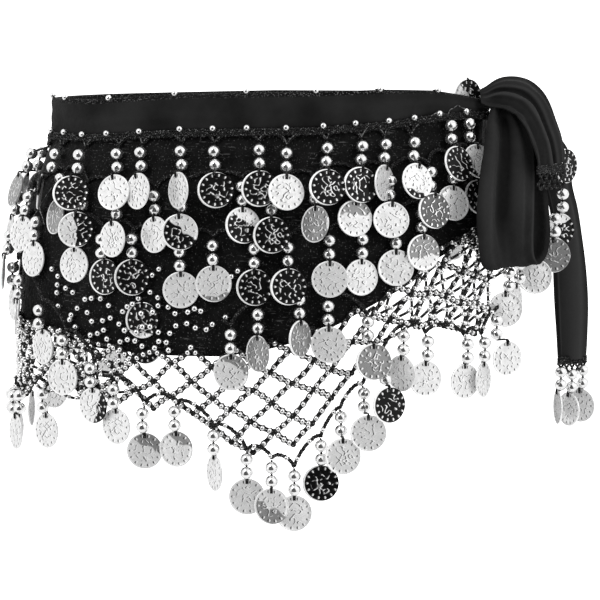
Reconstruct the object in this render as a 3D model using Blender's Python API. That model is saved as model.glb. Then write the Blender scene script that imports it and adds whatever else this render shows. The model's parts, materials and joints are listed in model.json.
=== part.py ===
"""A belly dance hip scarf as it is worn: tied at one side round an empty, open hip form.

Lengths below are in millimetres, and the objects are written in metres. +X is the side of the
knot, -Y the front and +Z up. The origin is the middle of the waist opening, halfway up the band.

Three words place everything on the hips:
  turn   degrees round the waist, 0 at the front, growing towards the knot
  below  depth under the origin
  out    distance outside the hips, along the horizontal normal
"""

import math

import bmesh
import bpy
import numpy as np
from mathutils.bvhtree import BVHTree

MM = 0.001
SHARP = 40.0  # an edge that bends by more than this many degrees isn't shaded smooth

# The hips under the scarf: an ellipse at each depth, from the waist's size to the hips'.
WAIST_HALF_WIDTH = 138.0
WAIST_HALF_DEPTH = 100.0
SPREAD_WIDTH = 22.0
SPREAD_DEPTH = 16.0
SPREAD_FROM = 8.0
SPREAD_OVER = 44.0
SPREAD_POWER = 1.5

# The cloth wall, and the gap at which one piece lies on another.
CLOTH = 1.2
SEAM = 0.3
LIE = 0.8
SIDE_SEAM = -90.0
FRONT_END = 77.0
BACK_END = -262.0
BAND_BACK_END = -282.0
PANEL_STEP = 5.0
PANEL_FRONT_ROWS = 8
PANEL_BACK_ROWS = 7
PANEL_ROW_POWER = 1.35  # rows lie closer together at the top, where the hips curve most

# The waistband: the depth of its middle and half its height.
BAND_THICK = 3.2
BAND_FRONT_STEP = 6.0
BAND_BACK_STEP = 6.5
BAND = (  # turn, middle, half_height
    (-282, -2.0, 3.5),
    (-262, -4.0, 5.0),
    (-250, -4.5, 6.5),
    (-225, -4.5, 10.0),
    (-180, -4.0, 11.0),
    (-130, -1.5, 11.0),
    (-90, 1.0, 11.0),
    (-50, 2.0, 11.0),
    (-24, -1.3, 11.0),
    (10, -2.6, 11.0),
    (30, -5.0, 10.0),
    (45, -7.0, 7.5),
    (60, -6.0, 5.0),
    (73.8, -4.0, 3.8),
)
BAND_SECTION = (  # up the band from -1 to 1, out from 0 to 1
    (-1.0, 0.5),
    (-0.86, 1.0),
    (-0.25, 1.12),
    (0.3, 0.92),
    (0.84, 1.0),
    (1.0, 0.5),
    (0.86, 0.0),
    (-0.86, 0.0),
)

# The cloth's lower edge, and the lower edge of the net that hangs from it.
HEM = (  # turn, below
    (-262, 26),
    (-235, 33),
    (-215, 43),
    (-200, 56),
    (-180, 76),
    (-150, 97),
    (-120, 114),
    (-90, 128),
    (-70, 133),
    (-54, 136),
    (-42, 142),
    (-26, 145),
    (-10, 145),
    (0, 140),
    (8, 134),
    (15, 125),
    (24, 112),
    (32, 101),
    (38, 89),
    (45, 81),
    (60, 62),
    (77, 46),
    (88, 38),
)
NET_EDGE = (  # turn, below
    (-262, 42),
    (-235, 51),
    (-215, 63),
    (-200, 77),
    (-180, 99),
    (-150, 125),
    (-120, 150),
    (-90, 174),
    (-70, 171),
    (-55, 164),
    (-31, 168),
    (-17, 174),
    (-9, 190),
    (4, 203),
    (9, 186),
    (12, 172),
    (17, 154),
    (22, 137),
    (26, 127),
    (38, 131),
    (54, 136),
    (57, 95),
    (70, 88),
    (78, 74),
    (90, 66),
)

# Broad folds of the cloth: ridges that fade out below, the sharp ones drawn to the knot.
FOLDS = (  # turn_at_top, turn_at_hem, width, height_at_top, height_at_hem
    (-236, -232, 9.0, 0.6, 1.6),
    (-204, -206, 9.0, 0.3, 1.8),
    (-171, -168, 10.0, 0.2, 1.6),
    (-139, -142, 10.0, 0.3, 1.8),
    (-106, -104, 9.0, 0.4, 1.5),
    (-75, -72, 8.0, 0.5, 1.7),
    (-47, -42, 7.0, 0.2, 1.3),
    (-14, -18, 8.0, 0.2, 1.2),
    (13, 6, 7.0, 0.4, 1.2),
    (43, 30, 5.0, 1.2, 1.5),
    (57, 46, 4.0, 1.8, 1.2),
    (68, 62, 3.6, 2.0, 0.8),
)

# The net: a diamond mesh whose rows follow the hem.
NET_PITCH = 12.0
NET_ROW = 9.3
NET_LAP = 4.0
NET_THICK = 1.6
NET_PAD_ACROSS = 1.8
NET_PAD_UP = 1.6
NET_OUT = CLOTH + 0.7
NET_OUTSIDE = NET_OUT + NET_THICK
NET_FRONT_END = 88.0

# Arcs round the hips are measured at this depth, over these turns.
ARC_LEVEL = 130.0
ARC_FROM = -300.0
ARC_TO = 120.0
ARC_STEPS = 2101

# One string of beads, from its root on the crochet edge to the foot of its coin.
BEAD = 3.9
COIN = 11.0
COIN_CORNER = COIN * math.tan(math.pi / 8)
COIN_THICK = 1.0
COIN_DROP = 26.9
THREAD = 0.8
STRING = (  # drop, half_width, half_thickness
    (4.0, BEAD, BEAD),
    (8.1, THREAD, THREAD),
    (12.2, BEAD, BEAD),
    (COIN_DROP - COIN, COIN_CORNER, COIN_THICK / 2),
    (COIN_DROP - COIN_CORNER, COIN, COIN_THICK / 2),
    (COIN_DROP + COIN_CORNER, COIN, COIN_THICK / 2),
    (COIN_DROP + COIN, COIN_CORNER, COIN_THICK / 2),
)
COIN_ROWS = 4

# A new string is lifted off the cloth in these steps, until it clears what hangs there.
CLEARANCE = 0.45
BEAD_LIFTS = (0.0, 1.0, 2.0, 3.5, 5.0, 7.0, 9.0, 11.0)
COIN_LIFTS = tuple(0.8 * n for n in range(24))
COIN_OUT = 1.0

# The crochet edge that a row of strings hangs from: it dips to each root and rises between.
EDGE_HEIGHT = 2.2
EDGE_THICK = 1.6
EDGE_RISE = 6.0
EDGE_REACH = 8.0
EDGE_STEP = 13.0
ROOT_HALF = 1.0
ROOT_TEST = 0.2  # the share of the way from the root to the first bead where its test starts
ON_CLOTH = CLOTH + LIE
ON_NET = NET_OUTSIDE + 0.5

# The strings on the front, each where its coin hangs. Facing turns the coin from the cloth.
ROW_1 = (  # turn, coin_below, facing
    (-80, 48, -10),
    (-66, 48, 12),
    (-53, 48, 0),
    (-40.5, 47, 5),
    (-33.5, 46, -10),
    (-22.5, 45, 45),
    (-14, 45, -8),
    (-3, 44, 6),
    (3.6, 46, -12),
    (13.5, 43, 0),
    (22.5, 42, -5),
    (28.8, 41, 50),
    (36.8, 40, -8),
    (49.5, 30, 40),
    (57, 29, 15),
)
ROW_2 = (
    (-87, 76, -12),
    (-73, 75, 15),
    (-59, 63, 10),
    (-48.5, 70, 5),
    (-37.5, 75, 0),
    (-27.5, 72, 20),
    (-21, 70, -10),
    (-6.8, 66, -25),
    (0, 71.5, 5),
    (10, 65, 50),
    (20, 62, -5),
    (28.5, 63, 10),
    (40, 58, 0),
    (48, 54, -15),
    (57, 51, 10),
)
ROW_3 = (
    (-80, 100, 12),
    (-66, 90, -10),
    (-50, 92, -5),
    (-40, 98.5, 0),
    (-31.8, 98, 8),
    (-20, 105, -10),
    (-12.7, 101, 0),
    (-3.7, 103, 5),
    (3.5, 102, -8),
    (12.5, 98, 15),
    (20, 97.5, -10),
    (28.2, 92, 12),
    (35, 83, 0),
)
ROW_4_LEFT = (
    (-80, 120, -10),
    (-71, 127, 20),
    (-60, 144, 0),
    (-50, 161, -10),
    (-41, 177, 5),
)
ROW_4_MIDDLE = (
    (-8.5, 154, 10),
    (-2.8, 142, 50),
    (5.8, 133, -50),
    (11.8, 137, 20),
    (20.4, 147, 0),
)
NET_STRINGS = (
    (-86, 202, 0),
    (-77, 201, 20),
    (-70, 199, 0),
    (-58.5, 196, -5),
    (-35, 189, 10),
    (-28, 203, -15),
    (-20.5, 201, 8),
    (-12.1, 215, 55),
    (-5.2, 229, 0),
    (0, 234, 20),
    (4.7, 239, -10),
    (10.3, 221, 5),
    (14.5, 204, 0),
    (19.5, 190, 10),
    (23.5, 173, -10),
    (28.4, 156, 65),
    (34.5, 160, 0),
    (45.5, 163, 0),
    (51.5, 163, -20),
    (56, 150, 15),
)
NET_STRINGS_SIDE = (
    (61.5, 121, 40),
    (68, 117, -5),
    (74, 102, 60),
    (80, 101, 30),
    (86, 95, 0),
)

# The strings round the back, hung at one pitch. The depths are those of the coins.
BACK_PITCH = 28.5
BACK_NET_PITCH = 24.0
BACK_FACINGS = (0, 14, -10, 6, -18, 10, -6)
BACK_ROWS = (  # name, first_turn, last_turn, below_at_first, below_at_middle, below_at_last
    ("row_1_back", -94, -250, 48, 45, 40),
    ("row_2_back", -101, -206, 75, 68, 58),
    ("row_3_back", -94, -166, 101, 97, 88),
)
BACK_NET_FROM = -95
BACK_NET_TO = -256
BACK_NET_HANG = 33.0

# The tied ends, each row one section of the strip from its outer to its inner edge.
STRIP_THICK = 2.0
LOOP_COLUMNS = 10
UPPER_COLUMNS = 10
LOWER_COLUMNS = 7
LOOP = (  # outer_x, outer_y, outer_z, inner_x, inner_y, inner_z
    (151, -43.5, 5.5, 138.5, -44, 5.5),
    (153, -47, -0.5, 134, -53, -0.5),
    (158, -49, -9, 132, -65, -9),
    (161, -51, -19.5, 129.5, -79, -19),
    (162, -53, -33, 127, -91, -32),
    (162, -56, -48, 125, -98, -47),
    (161.7, -59, -64, 124, -101, -62),
    (161.3, -60, -79, 125, -102, -77),
    (162.3, -57.5, -88.5, 127, -98.5, -90),
    (166.5, -49.5, -93, 131.5, -89.5, -94.5),
    (171.5, -40, -88, 135.5, -80, -89),
    (174, -34.5, -76, 138, -74.5, -75),
    (173, -33.5, -58, 139.5, -72.5, -56),
    (171, -33.5, -43, 140.5, -68.5, -42),
    (167, -32, -29, 141, -61, -28),
    (160, -28, -16, 141, -48, -15),
    (153, -26, -8.2, 142.5, -36, -8.2),
)
TAIL_UPPER = (
    (129, -43, 15, 129.5, -49, 6.5),
    (133.3, -40, 17.1, 133.3, -50.5, 4.8),
    (139.8, -36, 21.1, 137.8, -52.6, 4.2),
    (146.5, -31, 22.8, 142.7, -55.1, 3.2),
    (154.5, -25, 22.6, 147.4, -58, 1.4),
    (162.6, -19, 20, 151, -61.5, -1.5),
    (170, -14, 14, 154.5, -63, -5.9),
    (175.3, -11, 6, 157.4, -64, -11.5),
    (179.5, -9, -4.5, 159.5, -64.5, -16.8),
    (182.5, -9, -12.8, 161.5, -64.5, -22.3),
    (184.3, -10, -21.6, 163, -64, -28.3),
    (184.7, -12, -30, 164, -62, -34),
)
TAIL_LOWER = (
    (153.5, -22.3, 3.5, 153.5, -23.9, -2.5),
    (170, -6, -8, 160, -17, -14),
    (184, 2, -17, 164, -10, -26),
    (190, 8, -28, 170, -5, -40),
    (192, 13, -46, 175, -2, -54),
    (196, 15, -61, 178, 0, -68),
    (199, 16, -78, 179, 0, -82),
    (202, 16, -100, 179.5, 0, -102),
    (203.5, 16, -122, 180.5, 0, -124),
    (203, 15, -143, 182, 1, -145),
    (202, 14, -158.5, 183, 0, -158.5),
)
LOOP_PLEATS = (  # across from 0 to 1, width, depth
    (0.28, 0.10, 2.4),
    (0.62, 0.08, -3.0),
    (0.84, 0.09, 2.0),
)
UPPER_PLEATS = (
    (0.22, 0.08, 2.2),
    (0.42, 0.07, -1.8),
    (0.60, 0.08, 2.4),
    (0.82, 0.07, -1.6),
)
LOWER_PLEATS = (
    (0.35, 0.16, 2.2),
    (0.75, 0.14, -1.6),
)
KNOT_CENTRE = (145.2, -31.8, 1.5)
KNOT_RADII = (10.0, 11.0, 7.0)
KNOT_RINGS = 9
KNOT_SIDES = 12
KNOT_END_GAP = 0.35  # of a ring, between the barrel's tip and its first and last ring
KNOT_ROUNDNESS = 0.4
KNOT_RIDGE = 0.07
KNOT_WRAPS = 3
LOOP_PLEAT_DEPTHS = (  # along the loop from 0 to 1, how much of a pleat's depth is left
    (0.0, 0.35),
    (0.2, 0.9),
    (0.38, 1.0),
    (0.47, 0.2),
    (0.64, 0.15),
    (0.78, 0.6),
    (1.0, 0.35),
)
PLEAT_OPENING = 0.25
TAIL_UPPER_STRINGS = (  # across from 0 to 1, coin_below, facing
    (0.04, 74, 50),
    (0.34, 89, 70),
)
TAIL_LOWER_STRINGS = (
    (0.10, 189, 72),
    (0.50, 191, -86),
    (0.90, 189, -62),
)
TAIL_EDGE_DROP = EDGE_HEIGHT + SEAM  # from the tail's end to the edge's foot
TAIL_OUT = BEAD  # a tail's strings hang in its own plane
LOOSE_COINS = (  # name, x, y, z, facing
    ("coin_at_knot", 121.6, -37.6, 10.8, 37.0),
    ("coin_at_tail", 186.5, -5.2, -33.5, 46.0),
)
COIN_SIDES = 8


def column(table, turn, index=1):
    """A column of a table, read between its rows at a turn or at many."""
    rows = np.array(table, float)
    return np.interp(turn, rows[:, 0], rows[:, index])


def spread(below):
    """How far the hips have widened at a depth, from 0 at the waist to 1."""
    past = np.maximum(np.asarray(below, float) - SPREAD_FROM, 0.0) / SPREAD_OVER
    return 1.0 - np.exp(-(past**SPREAD_POWER))


def half_axes(below):
    share = spread(below)
    return WAIST_HALF_WIDTH + SPREAD_WIDTH * share, WAIST_HALF_DEPTH + SPREAD_DEPTH * share


def outward(turn, below):
    """The hips' horizontal normal."""
    half_width, half_depth = half_axes(below)
    angle = np.radians(turn)
    normal = np.stack(
        [half_depth * np.sin(angle), -half_width * np.cos(angle), 0.0 * angle], axis=-1
    )
    return normal / np.linalg.norm(normal, axis=-1, keepdims=True)


def on_hips(turn, below, out):
    """Points at a turn, a depth and a distance outside the hips."""
    turn, below, out = np.broadcast_arrays(
        np.asarray(turn, float), np.asarray(below, float), np.asarray(out, float)
    )
    half_width, half_depth = half_axes(below)
    angle = np.radians(turn)
    skin = np.stack(
        [half_width * np.sin(angle), -half_depth * np.cos(angle), -below], axis=-1
    )
    return skin + out[..., None] * outward(turn, below)


def band_foot(turn):
    """The depth of the waistband's lower edge."""
    return column(BAND, turn, 1) + column(BAND, turn, 2)


def fold_out(turn, below):
    """How far the cloth's folds stand out at a place on it."""
    turn, below = np.broadcast_arrays(np.asarray(turn, float), np.asarray(below, float))
    top, hem = band_foot(turn), column(HEM, turn)
    down = np.clip((below - top) / (hem - top), 0.0, 1.0)
    total = np.zeros(turn.shape)
    for top_turn, hem_turn, width, top_height, hem_height in FOLDS:
        middle = top_turn + (hem_turn - top_turn) * down
        height = top_height + (hem_height - top_height) * down
        total += height * np.exp(-(((turn - middle) / width) ** 2))
    return total


def on_cloth(turn, below, out):
    """Points at a distance outside the cloth's inner face, folds included."""
    return on_hips(turn, below, np.asarray(out, float) + fold_out(turn, below))


def arc_table():
    """Turns, and the arc along the hips from the front to each of them."""
    turns = np.linspace(ARC_FROM, ARC_TO, ARC_STEPS)
    points = on_hips(turns, ARC_LEVEL, 0.0)
    arcs = np.concatenate([[0.0], np.cumsum(np.linalg.norm(np.diff(points, axis=0), axis=1))])
    return turns, arcs - np.interp(0.0, turns, arcs)


TURNS, ARCS = arc_table()


def turn_at(arc):
    return np.interp(arc, ARCS, TURNS)


def arc_at(turn):
    return np.interp(turn, TURNS, ARCS)


def turns_per_mm(turn):
    return 2.0 / (arc_at(turn + 1) - arc_at(turn - 1))


def material(name, colour, roughness, metallic=0.0):
    made = bpy.data.materials.new(name)
    made.use_nodes = True
    shader = made.node_tree.nodes["Principled BSDF"]
    shader.inputs["Base Color"].default_value = (*colour, 1.0)
    shader.inputs["Roughness"].default_value = roughness
    shader.inputs["Metallic"].default_value = metallic
    return made


def build(name, points, faces, finish):
    """One closed object from points in millimetres."""
    mesh = bpy.data.meshes.new(name)
    mesh.from_pydata([tuple(float(c) * MM for c in p) for p in points], [], faces)
    work = bmesh.new()
    work.from_mesh(mesh)
    bmesh.ops.recalc_face_normals(work, faces=work.faces)
    work.to_mesh(mesh)
    work.free()
    mesh.shade_smooth()
    mesh.set_sharp_from_angle(angle=math.radians(SHARP))
    mesh.materials.append(finish)
    made = bpy.data.objects.new(name, mesh)
    bpy.context.scene.collection.objects.link(made)
    return made


def wall(inner, outer):
    """Points and faces of a closed wall between two grids of the same shape."""
    rows, columns = inner.shape[:2]
    points = [*inner.reshape(-1, 3), *outer.reshape(-1, 3)]
    shift = rows * columns
    faces = []
    for r in range(rows - 1):
        for c in range(columns - 1):
            a = r * columns + c
            quad = (a, a + 1, a + columns + 1, a + columns)
            faces.append(quad)
            faces.append(tuple(shift + i for i in reversed(quad)))
    rim = [(0, c) for c in range(columns)]
    rim += [(r, columns - 1) for r in range(1, rows)]
    rim += [(rows - 1, c) for c in range(columns - 2, -1, -1)]
    rim += [(r, 0) for r in range(rows - 2, 0, -1)]
    ring = [r * columns + c for r, c in rim]
    for a, b in zip(ring, ring[1:] + ring[:1]):
        faces.append((a, a + shift, b + shift, b))
    return points, faces


def loft(sections):
    """Points and faces of a body through sections with the same number of corners."""
    corners = len(sections[0])
    points = [p for section in sections for p in section]
    faces = []
    for s in range(len(sections) - 1):
        for c in range(corners):
            a = s * corners + c
            b = s * corners + (c + 1) % corners
            faces.append((a, b, b + corners, a + corners))
    faces.append(tuple(range(corners)))
    last = (len(sections) - 1) * corners
    faces.append(tuple(last + c for c in reversed(range(corners))))
    return points, faces


def turns_between(first, last, step):
    return np.linspace(first, last, math.ceil(abs(last - first) / step) + 1)


def panel(first, last, rows):
    """A stretch of the cloth, from just under the band to the hem."""
    turns = turns_between(first, last, PANEL_STEP)
    share = np.linspace(0.0, 1.0, rows)[:, None] ** PANEL_ROW_POWER
    top = band_foot(turns) + SEAM
    below = top + (column(HEM, turns) - top) * share
    across = np.broadcast_to(turns, below.shape)
    return wall(on_cloth(across, below, 0.0), on_cloth(across, below, CLOTH))


def band(first, last, step):
    """A stretch of the waistband."""
    sections = []
    for turn in turns_between(first, last, step):
        middle, half = column(BAND, turn, 1), column(BAND, turn, 2)
        sections.append(
            [on_hips(turn, middle - up * half, out * BAND_THICK) for up, out in BAND_SECTION]
        )
    return loft(sections)


def net_point(arc, row, out):
    turn = turn_at(arc)
    below = column(HEM, turn) - NET_LAP + NET_ROW * row
    return on_cloth(turn, below, NET_OUT + out)


def net_depth(arc, index):
    """The last row of the net in a column: the one of its parity nearest to the net's edge."""
    turn = turn_at(arc)
    rows = (column(NET_EDGE, turn) - column(HEM, turn) + NET_LAP) / NET_ROW
    return max(1, index % 2 + 2 * round((rows - index % 2) / 2))


def net_knots(first_arc, columns):
    """The (column, row) of each knot that holds at least two bars."""
    knots = {
        (i, j)
        for i in range(columns)
        for j in range(net_depth(first_arc + i * NET_PITCH, i) + 1)
        if (i + j) % 2 == 0
    }
    while True:
        loose = {
            (i, j)
            for i, j in knots
            if sum((i + a, j + b) in knots for a in (-1, 1) for b in (-1, 1)) < 2
        }
        if not loose:
            return sorted(knots)
        knots -= loose


def net(first_arc, columns):
    """A diamond net: each knot is a four-cornered pad, and bars join their facing sides."""
    knots = net_knots(first_arc, columns)
    corners = ((0, -1), (1, 0), (0, 1), (-1, 0))
    ways = ((1, -1), (1, 1), (-1, 1), (-1, -1))
    points, faces, start = [], [], {}
    for i, j in knots:
        start[i, j] = len(points)
        for out in (0.0, NET_THICK):
            for across, down in corners:
                arc = first_arc + i * NET_PITCH + across * NET_PAD_ACROSS
                points.append(net_point(arc, j + down * NET_PAD_UP / NET_ROW, out))
        at = start[i, j]
        faces.append((at, at + 1, at + 2, at + 3))
        faces.append((at + 7, at + 6, at + 5, at + 4))
    for i, j in knots:
        for side, (across, down) in enumerate(ways):
            a, b = start[i, j] + side, start[i, j] + (side + 1) % 4
            other = start.get((i + across, j + down))
            if other is None:
                faces.append((a, b, b + 4, a + 4))
            elif across > 0:
                c, d = other + (side + 2) % 4, other + (side + 3) % 4
                faces.append((a, b, c, d))
                faces.append((a + 4, d + 4, c + 4, b + 4))
                faces.append((a, d, d + 4, a + 4))
                faces.append((b, b + 4, c + 4, c))
    return points, faces


def hang_turn(root_turn, root_below, below):
    """A string hangs straight down, so it drifts round the widening hips."""
    at_root, _ = half_axes(root_below)
    here, _ = half_axes(below)
    drift = math.degrees(here / at_root - 1.0) * math.sin(math.radians(2 * root_turn))
    return root_turn - drift


def on_hips_path(turn, coin_below):
    """Where a string on the hips hangs: a function from drop and out to a place and its normal."""
    root_below = coin_below - COIN_DROP

    def place(drop, out):
        below = root_below + drop
        here = hang_turn(turn, root_below, below)
        return on_cloth(here, below, out), outward(here, below)

    return place


def section_at(centre, face, facing, half_width, half_thick):
    """Four corners round a point, turned about the vertical by the facing angle."""
    level = np.array([-face[1], face[0], 0.0])
    turned = math.radians(facing)
    across = (level * math.cos(turned) + face * math.sin(turned)) * half_width
    through = (face * math.cos(turned) - level * math.sin(turned)) * half_thick
    return [
        centre - across - through,
        centre + across - through,
        centre + across + through,
        centre - across + through,
    ]


def string_sections(place, facing, bead_out, coin_out, grow=0.0):
    """The sections of a string, from its first bead to its coin's foot. The coin is flat."""
    beads, coin = STRING[:-COIN_ROWS], STRING[-COIN_ROWS:]
    sections = []
    for drop, half_width, half_thick in beads:
        centre, face = place(drop, bead_out)
        sections.append(section_at(centre, face, 0.0, half_width + grow, half_thick + grow))
    (top_drop, *_), (foot_drop, *_) = coin[0], coin[-1]
    top, face = place(top_drop, coin_out)
    foot, _ = place(foot_drop, coin_out)
    for drop, half_width, half_thick in coin:
        centre = top + (foot - top) * (drop - top_drop) / (foot_drop - top_drop)
        sections.append(section_at(centre, face, facing, half_width + grow, half_thick + grow))
    return sections


def rooted(sections, place, root_out):
    """The sections with one more, just under the string's root."""
    centre, face = place(0.0, root_out)
    root = section_at(centre, face, 0.0, ROOT_HALF, EDGE_THICK / 2)
    return [[a + (b - a) * ROOT_TEST for a, b in zip(root, sections[0])], *sections]


def tree_of(points, faces):
    return BVHTree.FromPolygons([tuple(p) for p in points], [tuple(f) for f in faces])


class Hung:
    """What hangs so far, so that each new string is hung clear of it."""

    def __init__(self):
        self.pieces = []

    def add(self, points, faces):
        cloud = np.array(points)
        self.pieces.append((cloud.min(axis=0), cloud.max(axis=0), tree_of(points, faces)))

    def clear(self, points, faces):
        cloud = np.array(points)
        low, high = cloud.min(axis=0), cloud.max(axis=0)
        tree = tree_of(points, faces)
        return not any(
            (low <= other_high).all() and (high >= other_low).all() and tree.overlap(other)
            for other_low, other_high, other in self.pieces
        )


def hang(name, place, facing, base_out, hung):
    """The sections of a string, lifted off the cloth just far enough to clear what hangs there."""
    root_out = base_out + EDGE_THICK / 2
    for bead_lift in BEAD_LIFTS:
        for coin_lift in COIN_LIFTS:
            outs = (base_out + BEAD + bead_lift, base_out + COIN_OUT + coin_lift)
            grown = string_sections(place, facing, *outs, CLEARANCE)
            if not hung.clear(*loft(rooted(grown, place, root_out))):
                continue
            sections = string_sections(place, facing, *outs)
            hung.add(*loft(rooted(sections, place, root_out)))
            return sections
    raise ValueError(f"{name}: no room for the string facing {facing} at {place(0.0, 0.0)[0]}")


def edge_line(strings):
    """The crochet edge's foot as (turn, below, ends_root): it dips at each root's two sides."""
    stops = []
    for turn, coin_below, _ in strings:
        root, half = coin_below - COIN_DROP, ROOT_HALF * turns_per_mm(turn)
        stops += [(turn - half, root, False), (turn + half, root, True)]
    (first, first_root, _), (last, last_root, _) = stops[0], stops[-1]
    line = [(first - EDGE_REACH * turns_per_mm(first), first_root - EDGE_RISE, False)]
    for here, after in zip(stops, stops[1:]):
        line.append(here)
        if here[2]:
            line += rises_between(here, after)
    line.append(stops[-1])
    line.append((last + EDGE_REACH * turns_per_mm(last), last_root - EDGE_RISE, False))
    return line


def rises_between(here, after):
    """The edge's raised stations between two roots."""
    gap = arc_at(after[0]) - arc_at(here[0])
    rise = min(EDGE_RISE, gap / 3)
    count = max(1, round(gap / EDGE_STEP) - 1)
    raised = []
    for share in np.linspace(0.0, 1.0, count + 2)[1:-1]:
        turn = here[0] + (after[0] - here[0]) * share
        raised.append((turn, here[1] + (after[1] - here[1]) * share - rise, False))
    return raised


def edge_stations(strings, base_out):
    """The edge's stations of three corners, and the index of each root's first station."""
    stations, roots = [], []
    for turn, below, ends_root in edge_line(strings):
        if ends_root:
            roots.append(len(stations) - 1)
        foot = max(below, band_foot(turn) + SEAM + EDGE_HEIGHT)
        stations.append(
            [
                on_cloth(turn, foot - EDGE_HEIGHT, base_out + EDGE_THICK / 2),
                on_cloth(turn, foot, base_out),
                on_cloth(turn, foot, base_out + EDGE_THICK),
            ]
        )
    return stations, roots


def fringe(stations, roots, strings):
    """A three-cornered edge with a string grown from the underside at each root."""
    points, faces = loft(stations)
    undersides = {3 * r + 1: n for n, r in enumerate(roots)}
    kept = []
    for face in faces:
        under = len(face) == 4 and face[1] == face[0] + 1 and face[0] in undersides
        if not under:
            kept.append(face)
    for root, sections in zip(roots, strings):
        ring = [3 * root + 1, 3 * root + 4, 3 * root + 5, 3 * root + 2]
        for section in sections:
            start = len(points)
            points += section
            new = [start, start + 1, start + 2, start + 3]
            for c in range(4):
                d = (c + 1) % 4
                kept.append((ring[c], ring[d], new[d], new[c]))
            ring = new
        kept.append(tuple(ring))
    return points, kept


def back_turns(first, last, pitch):
    """Turns at one pitch round the back, each with its share of the way."""
    start, stop = arc_at(first), arc_at(last)
    shares = np.arange(0.0, 1.0, pitch / (start - stop))
    return [(float(turn_at(start + (stop - start) * share)), share) for share in shares]


def back_strings(first, last, *belows):
    """A row round the back, with its coins at depths between the three given."""
    strings = []
    for n, (turn, share) in enumerate(back_turns(first, last, BACK_PITCH)):
        below = float(np.interp(share, (0.0, 0.5, 1.0), belows))
        strings.append((turn, below, BACK_FACINGS[n % len(BACK_FACINGS)]))
    return strings


def back_net_strings():
    strings = []
    for n, (turn, _) in enumerate(back_turns(BACK_NET_FROM, BACK_NET_TO, BACK_NET_PITCH)):
        below = float(column(NET_EDGE, turn)) + BACK_NET_HANG
        strings.append((turn, below, BACK_FACINGS[(n + 3) % len(BACK_FACINGS)]))
    return strings


def strip_axes(row, before, after):
    """The two edges of a strip's section, and its normal."""
    outer, inner = np.array(row[:3], float), np.array(row[3:], float)
    along = (np.array(after, float) - np.array(before, float)).reshape(2, 3).mean(axis=0)
    normal = np.cross(inner - outer, along)
    return outer, inner, normal / np.linalg.norm(normal)


def loop_pleats(share):
    """How deep the loop's pleats are along it: shallow at the knot and round its foot's bend."""
    return float(column(LOOP_PLEAT_DEPTHS, share))


def tail_pleats(share):
    """How deep a tail's pleats are along it: they open out from the knot."""
    return min(1.0, share / PLEAT_OPENING)


def strip(rows, pleats, columns, pleat_share):
    """A strip of cloth through its rows, pleated along its length."""
    shares = np.linspace(0.0, 1.0, columns)
    pleated = sum(h * np.exp(-(((shares - across) / w) ** 2)) for across, w, h in pleats)
    under, over = [], []
    for index, row in enumerate(rows):
        before, after = rows[max(index - 1, 0)], rows[min(index + 1, len(rows) - 1)]
        outer, inner, normal = strip_axes(row, before, after)
        depth = pleated * pleat_share(index / (len(rows) - 1))
        line = outer + (inner - outer) * shares[:, None] + normal * depth[:, None]
        under.append(line - normal * STRIP_THICK / 2)
        over.append(line + normal * STRIP_THICK / 2)
    return wall(np.array(under), np.array(over))


def knot():
    """A tight barrel of cloth lying along the band, ridged by its wraps."""
    sections = []
    for ring in range(KNOT_RINGS):
        along = -1 + 2 * (ring + KNOT_END_GAP) / (KNOT_RINGS - 1 + 2 * KNOT_END_GAP)
        ridge = 1 + KNOT_RIDGE * math.cos(KNOT_WRAPS * math.pi * along)
        girth = (1 - along * along) ** KNOT_ROUNDNESS * ridge
        angles = 2 * math.pi * np.arange(KNOT_SIDES) / KNOT_SIDES
        offsets = np.stack(
            [along + 0 * angles, girth * np.cos(angles), girth * np.sin(angles)], axis=-1
        )
        sections.append(list(KNOT_CENTRE + offsets * KNOT_RADII))
    return loft(sections)


def loose_coin(x, y, z, facing):
    """An upright eight-sided coin."""
    turned = math.radians(facing)
    across = np.array([math.cos(turned), math.sin(turned), 0.0])
    through = np.array([math.sin(turned), -math.cos(turned), 0.0]) * COIN_THICK / 2
    angles = 2 * math.pi * (np.arange(COIN_SIDES) + 0.5)[:, None] / COIN_SIDES
    radius = COIN / math.cos(math.pi / COIN_SIDES)
    rim = np.array([x, y, z]) + radius * (
        across * np.cos(angles) + np.array([0.0, 0.0, 1.0]) * np.sin(angles)
    )
    return loft([list(rim - through), list(rim + through)])


def tail_edge(outer, inner, foot, face, strings):
    """A tail's level crochet edge, from its inner end, and each root's first station, in order."""
    length = np.linalg.norm(inner - outer)
    shares, roots = [1.0], []
    for across, _, _ in reversed(strings):
        roots.append(len(shares))
        shares += [across + ROOT_HALF / length, across - ROOT_HALF / length]
    shares.append(0.0)
    stations = []
    for share in shares:
        low = np.array([*(outer + (inner - outer) * share)[:2], foot])
        high = low + np.array([0.0, 0.0, EDGE_HEIGHT])
        stations.append([high, low - face * EDGE_THICK / 2, low + face * EDGE_THICK / 2])
    return stations, roots


def tail_fringe(name, last_row, strings, hung):
    """Strings that hang straight down from the end of a tail."""
    outer, inner = np.array(last_row[:3], float), np.array(last_row[3:], float)
    run = inner - outer
    face = np.array([-run[1], run[0], 0.0]) / np.hypot(run[0], run[1])
    foot = min(outer[2], inner[2]) - TAIL_EDGE_DROP
    stations, roots = tail_edge(outer, inner, foot, face, strings)
    hung.add(*loft(stations))
    sections = []
    for across, coin_below, facing in strings:
        root = outer + run * across

        def place(drop, out, root=root, top=COIN_DROP - coin_below):
            return np.array([root[0], root[1], top - drop]) + face * (out - TAIL_OUT), face

        sections.append(hang(name, place, facing, 0.0, hung))
    return fringe(stations, roots, sections[::-1])


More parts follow.
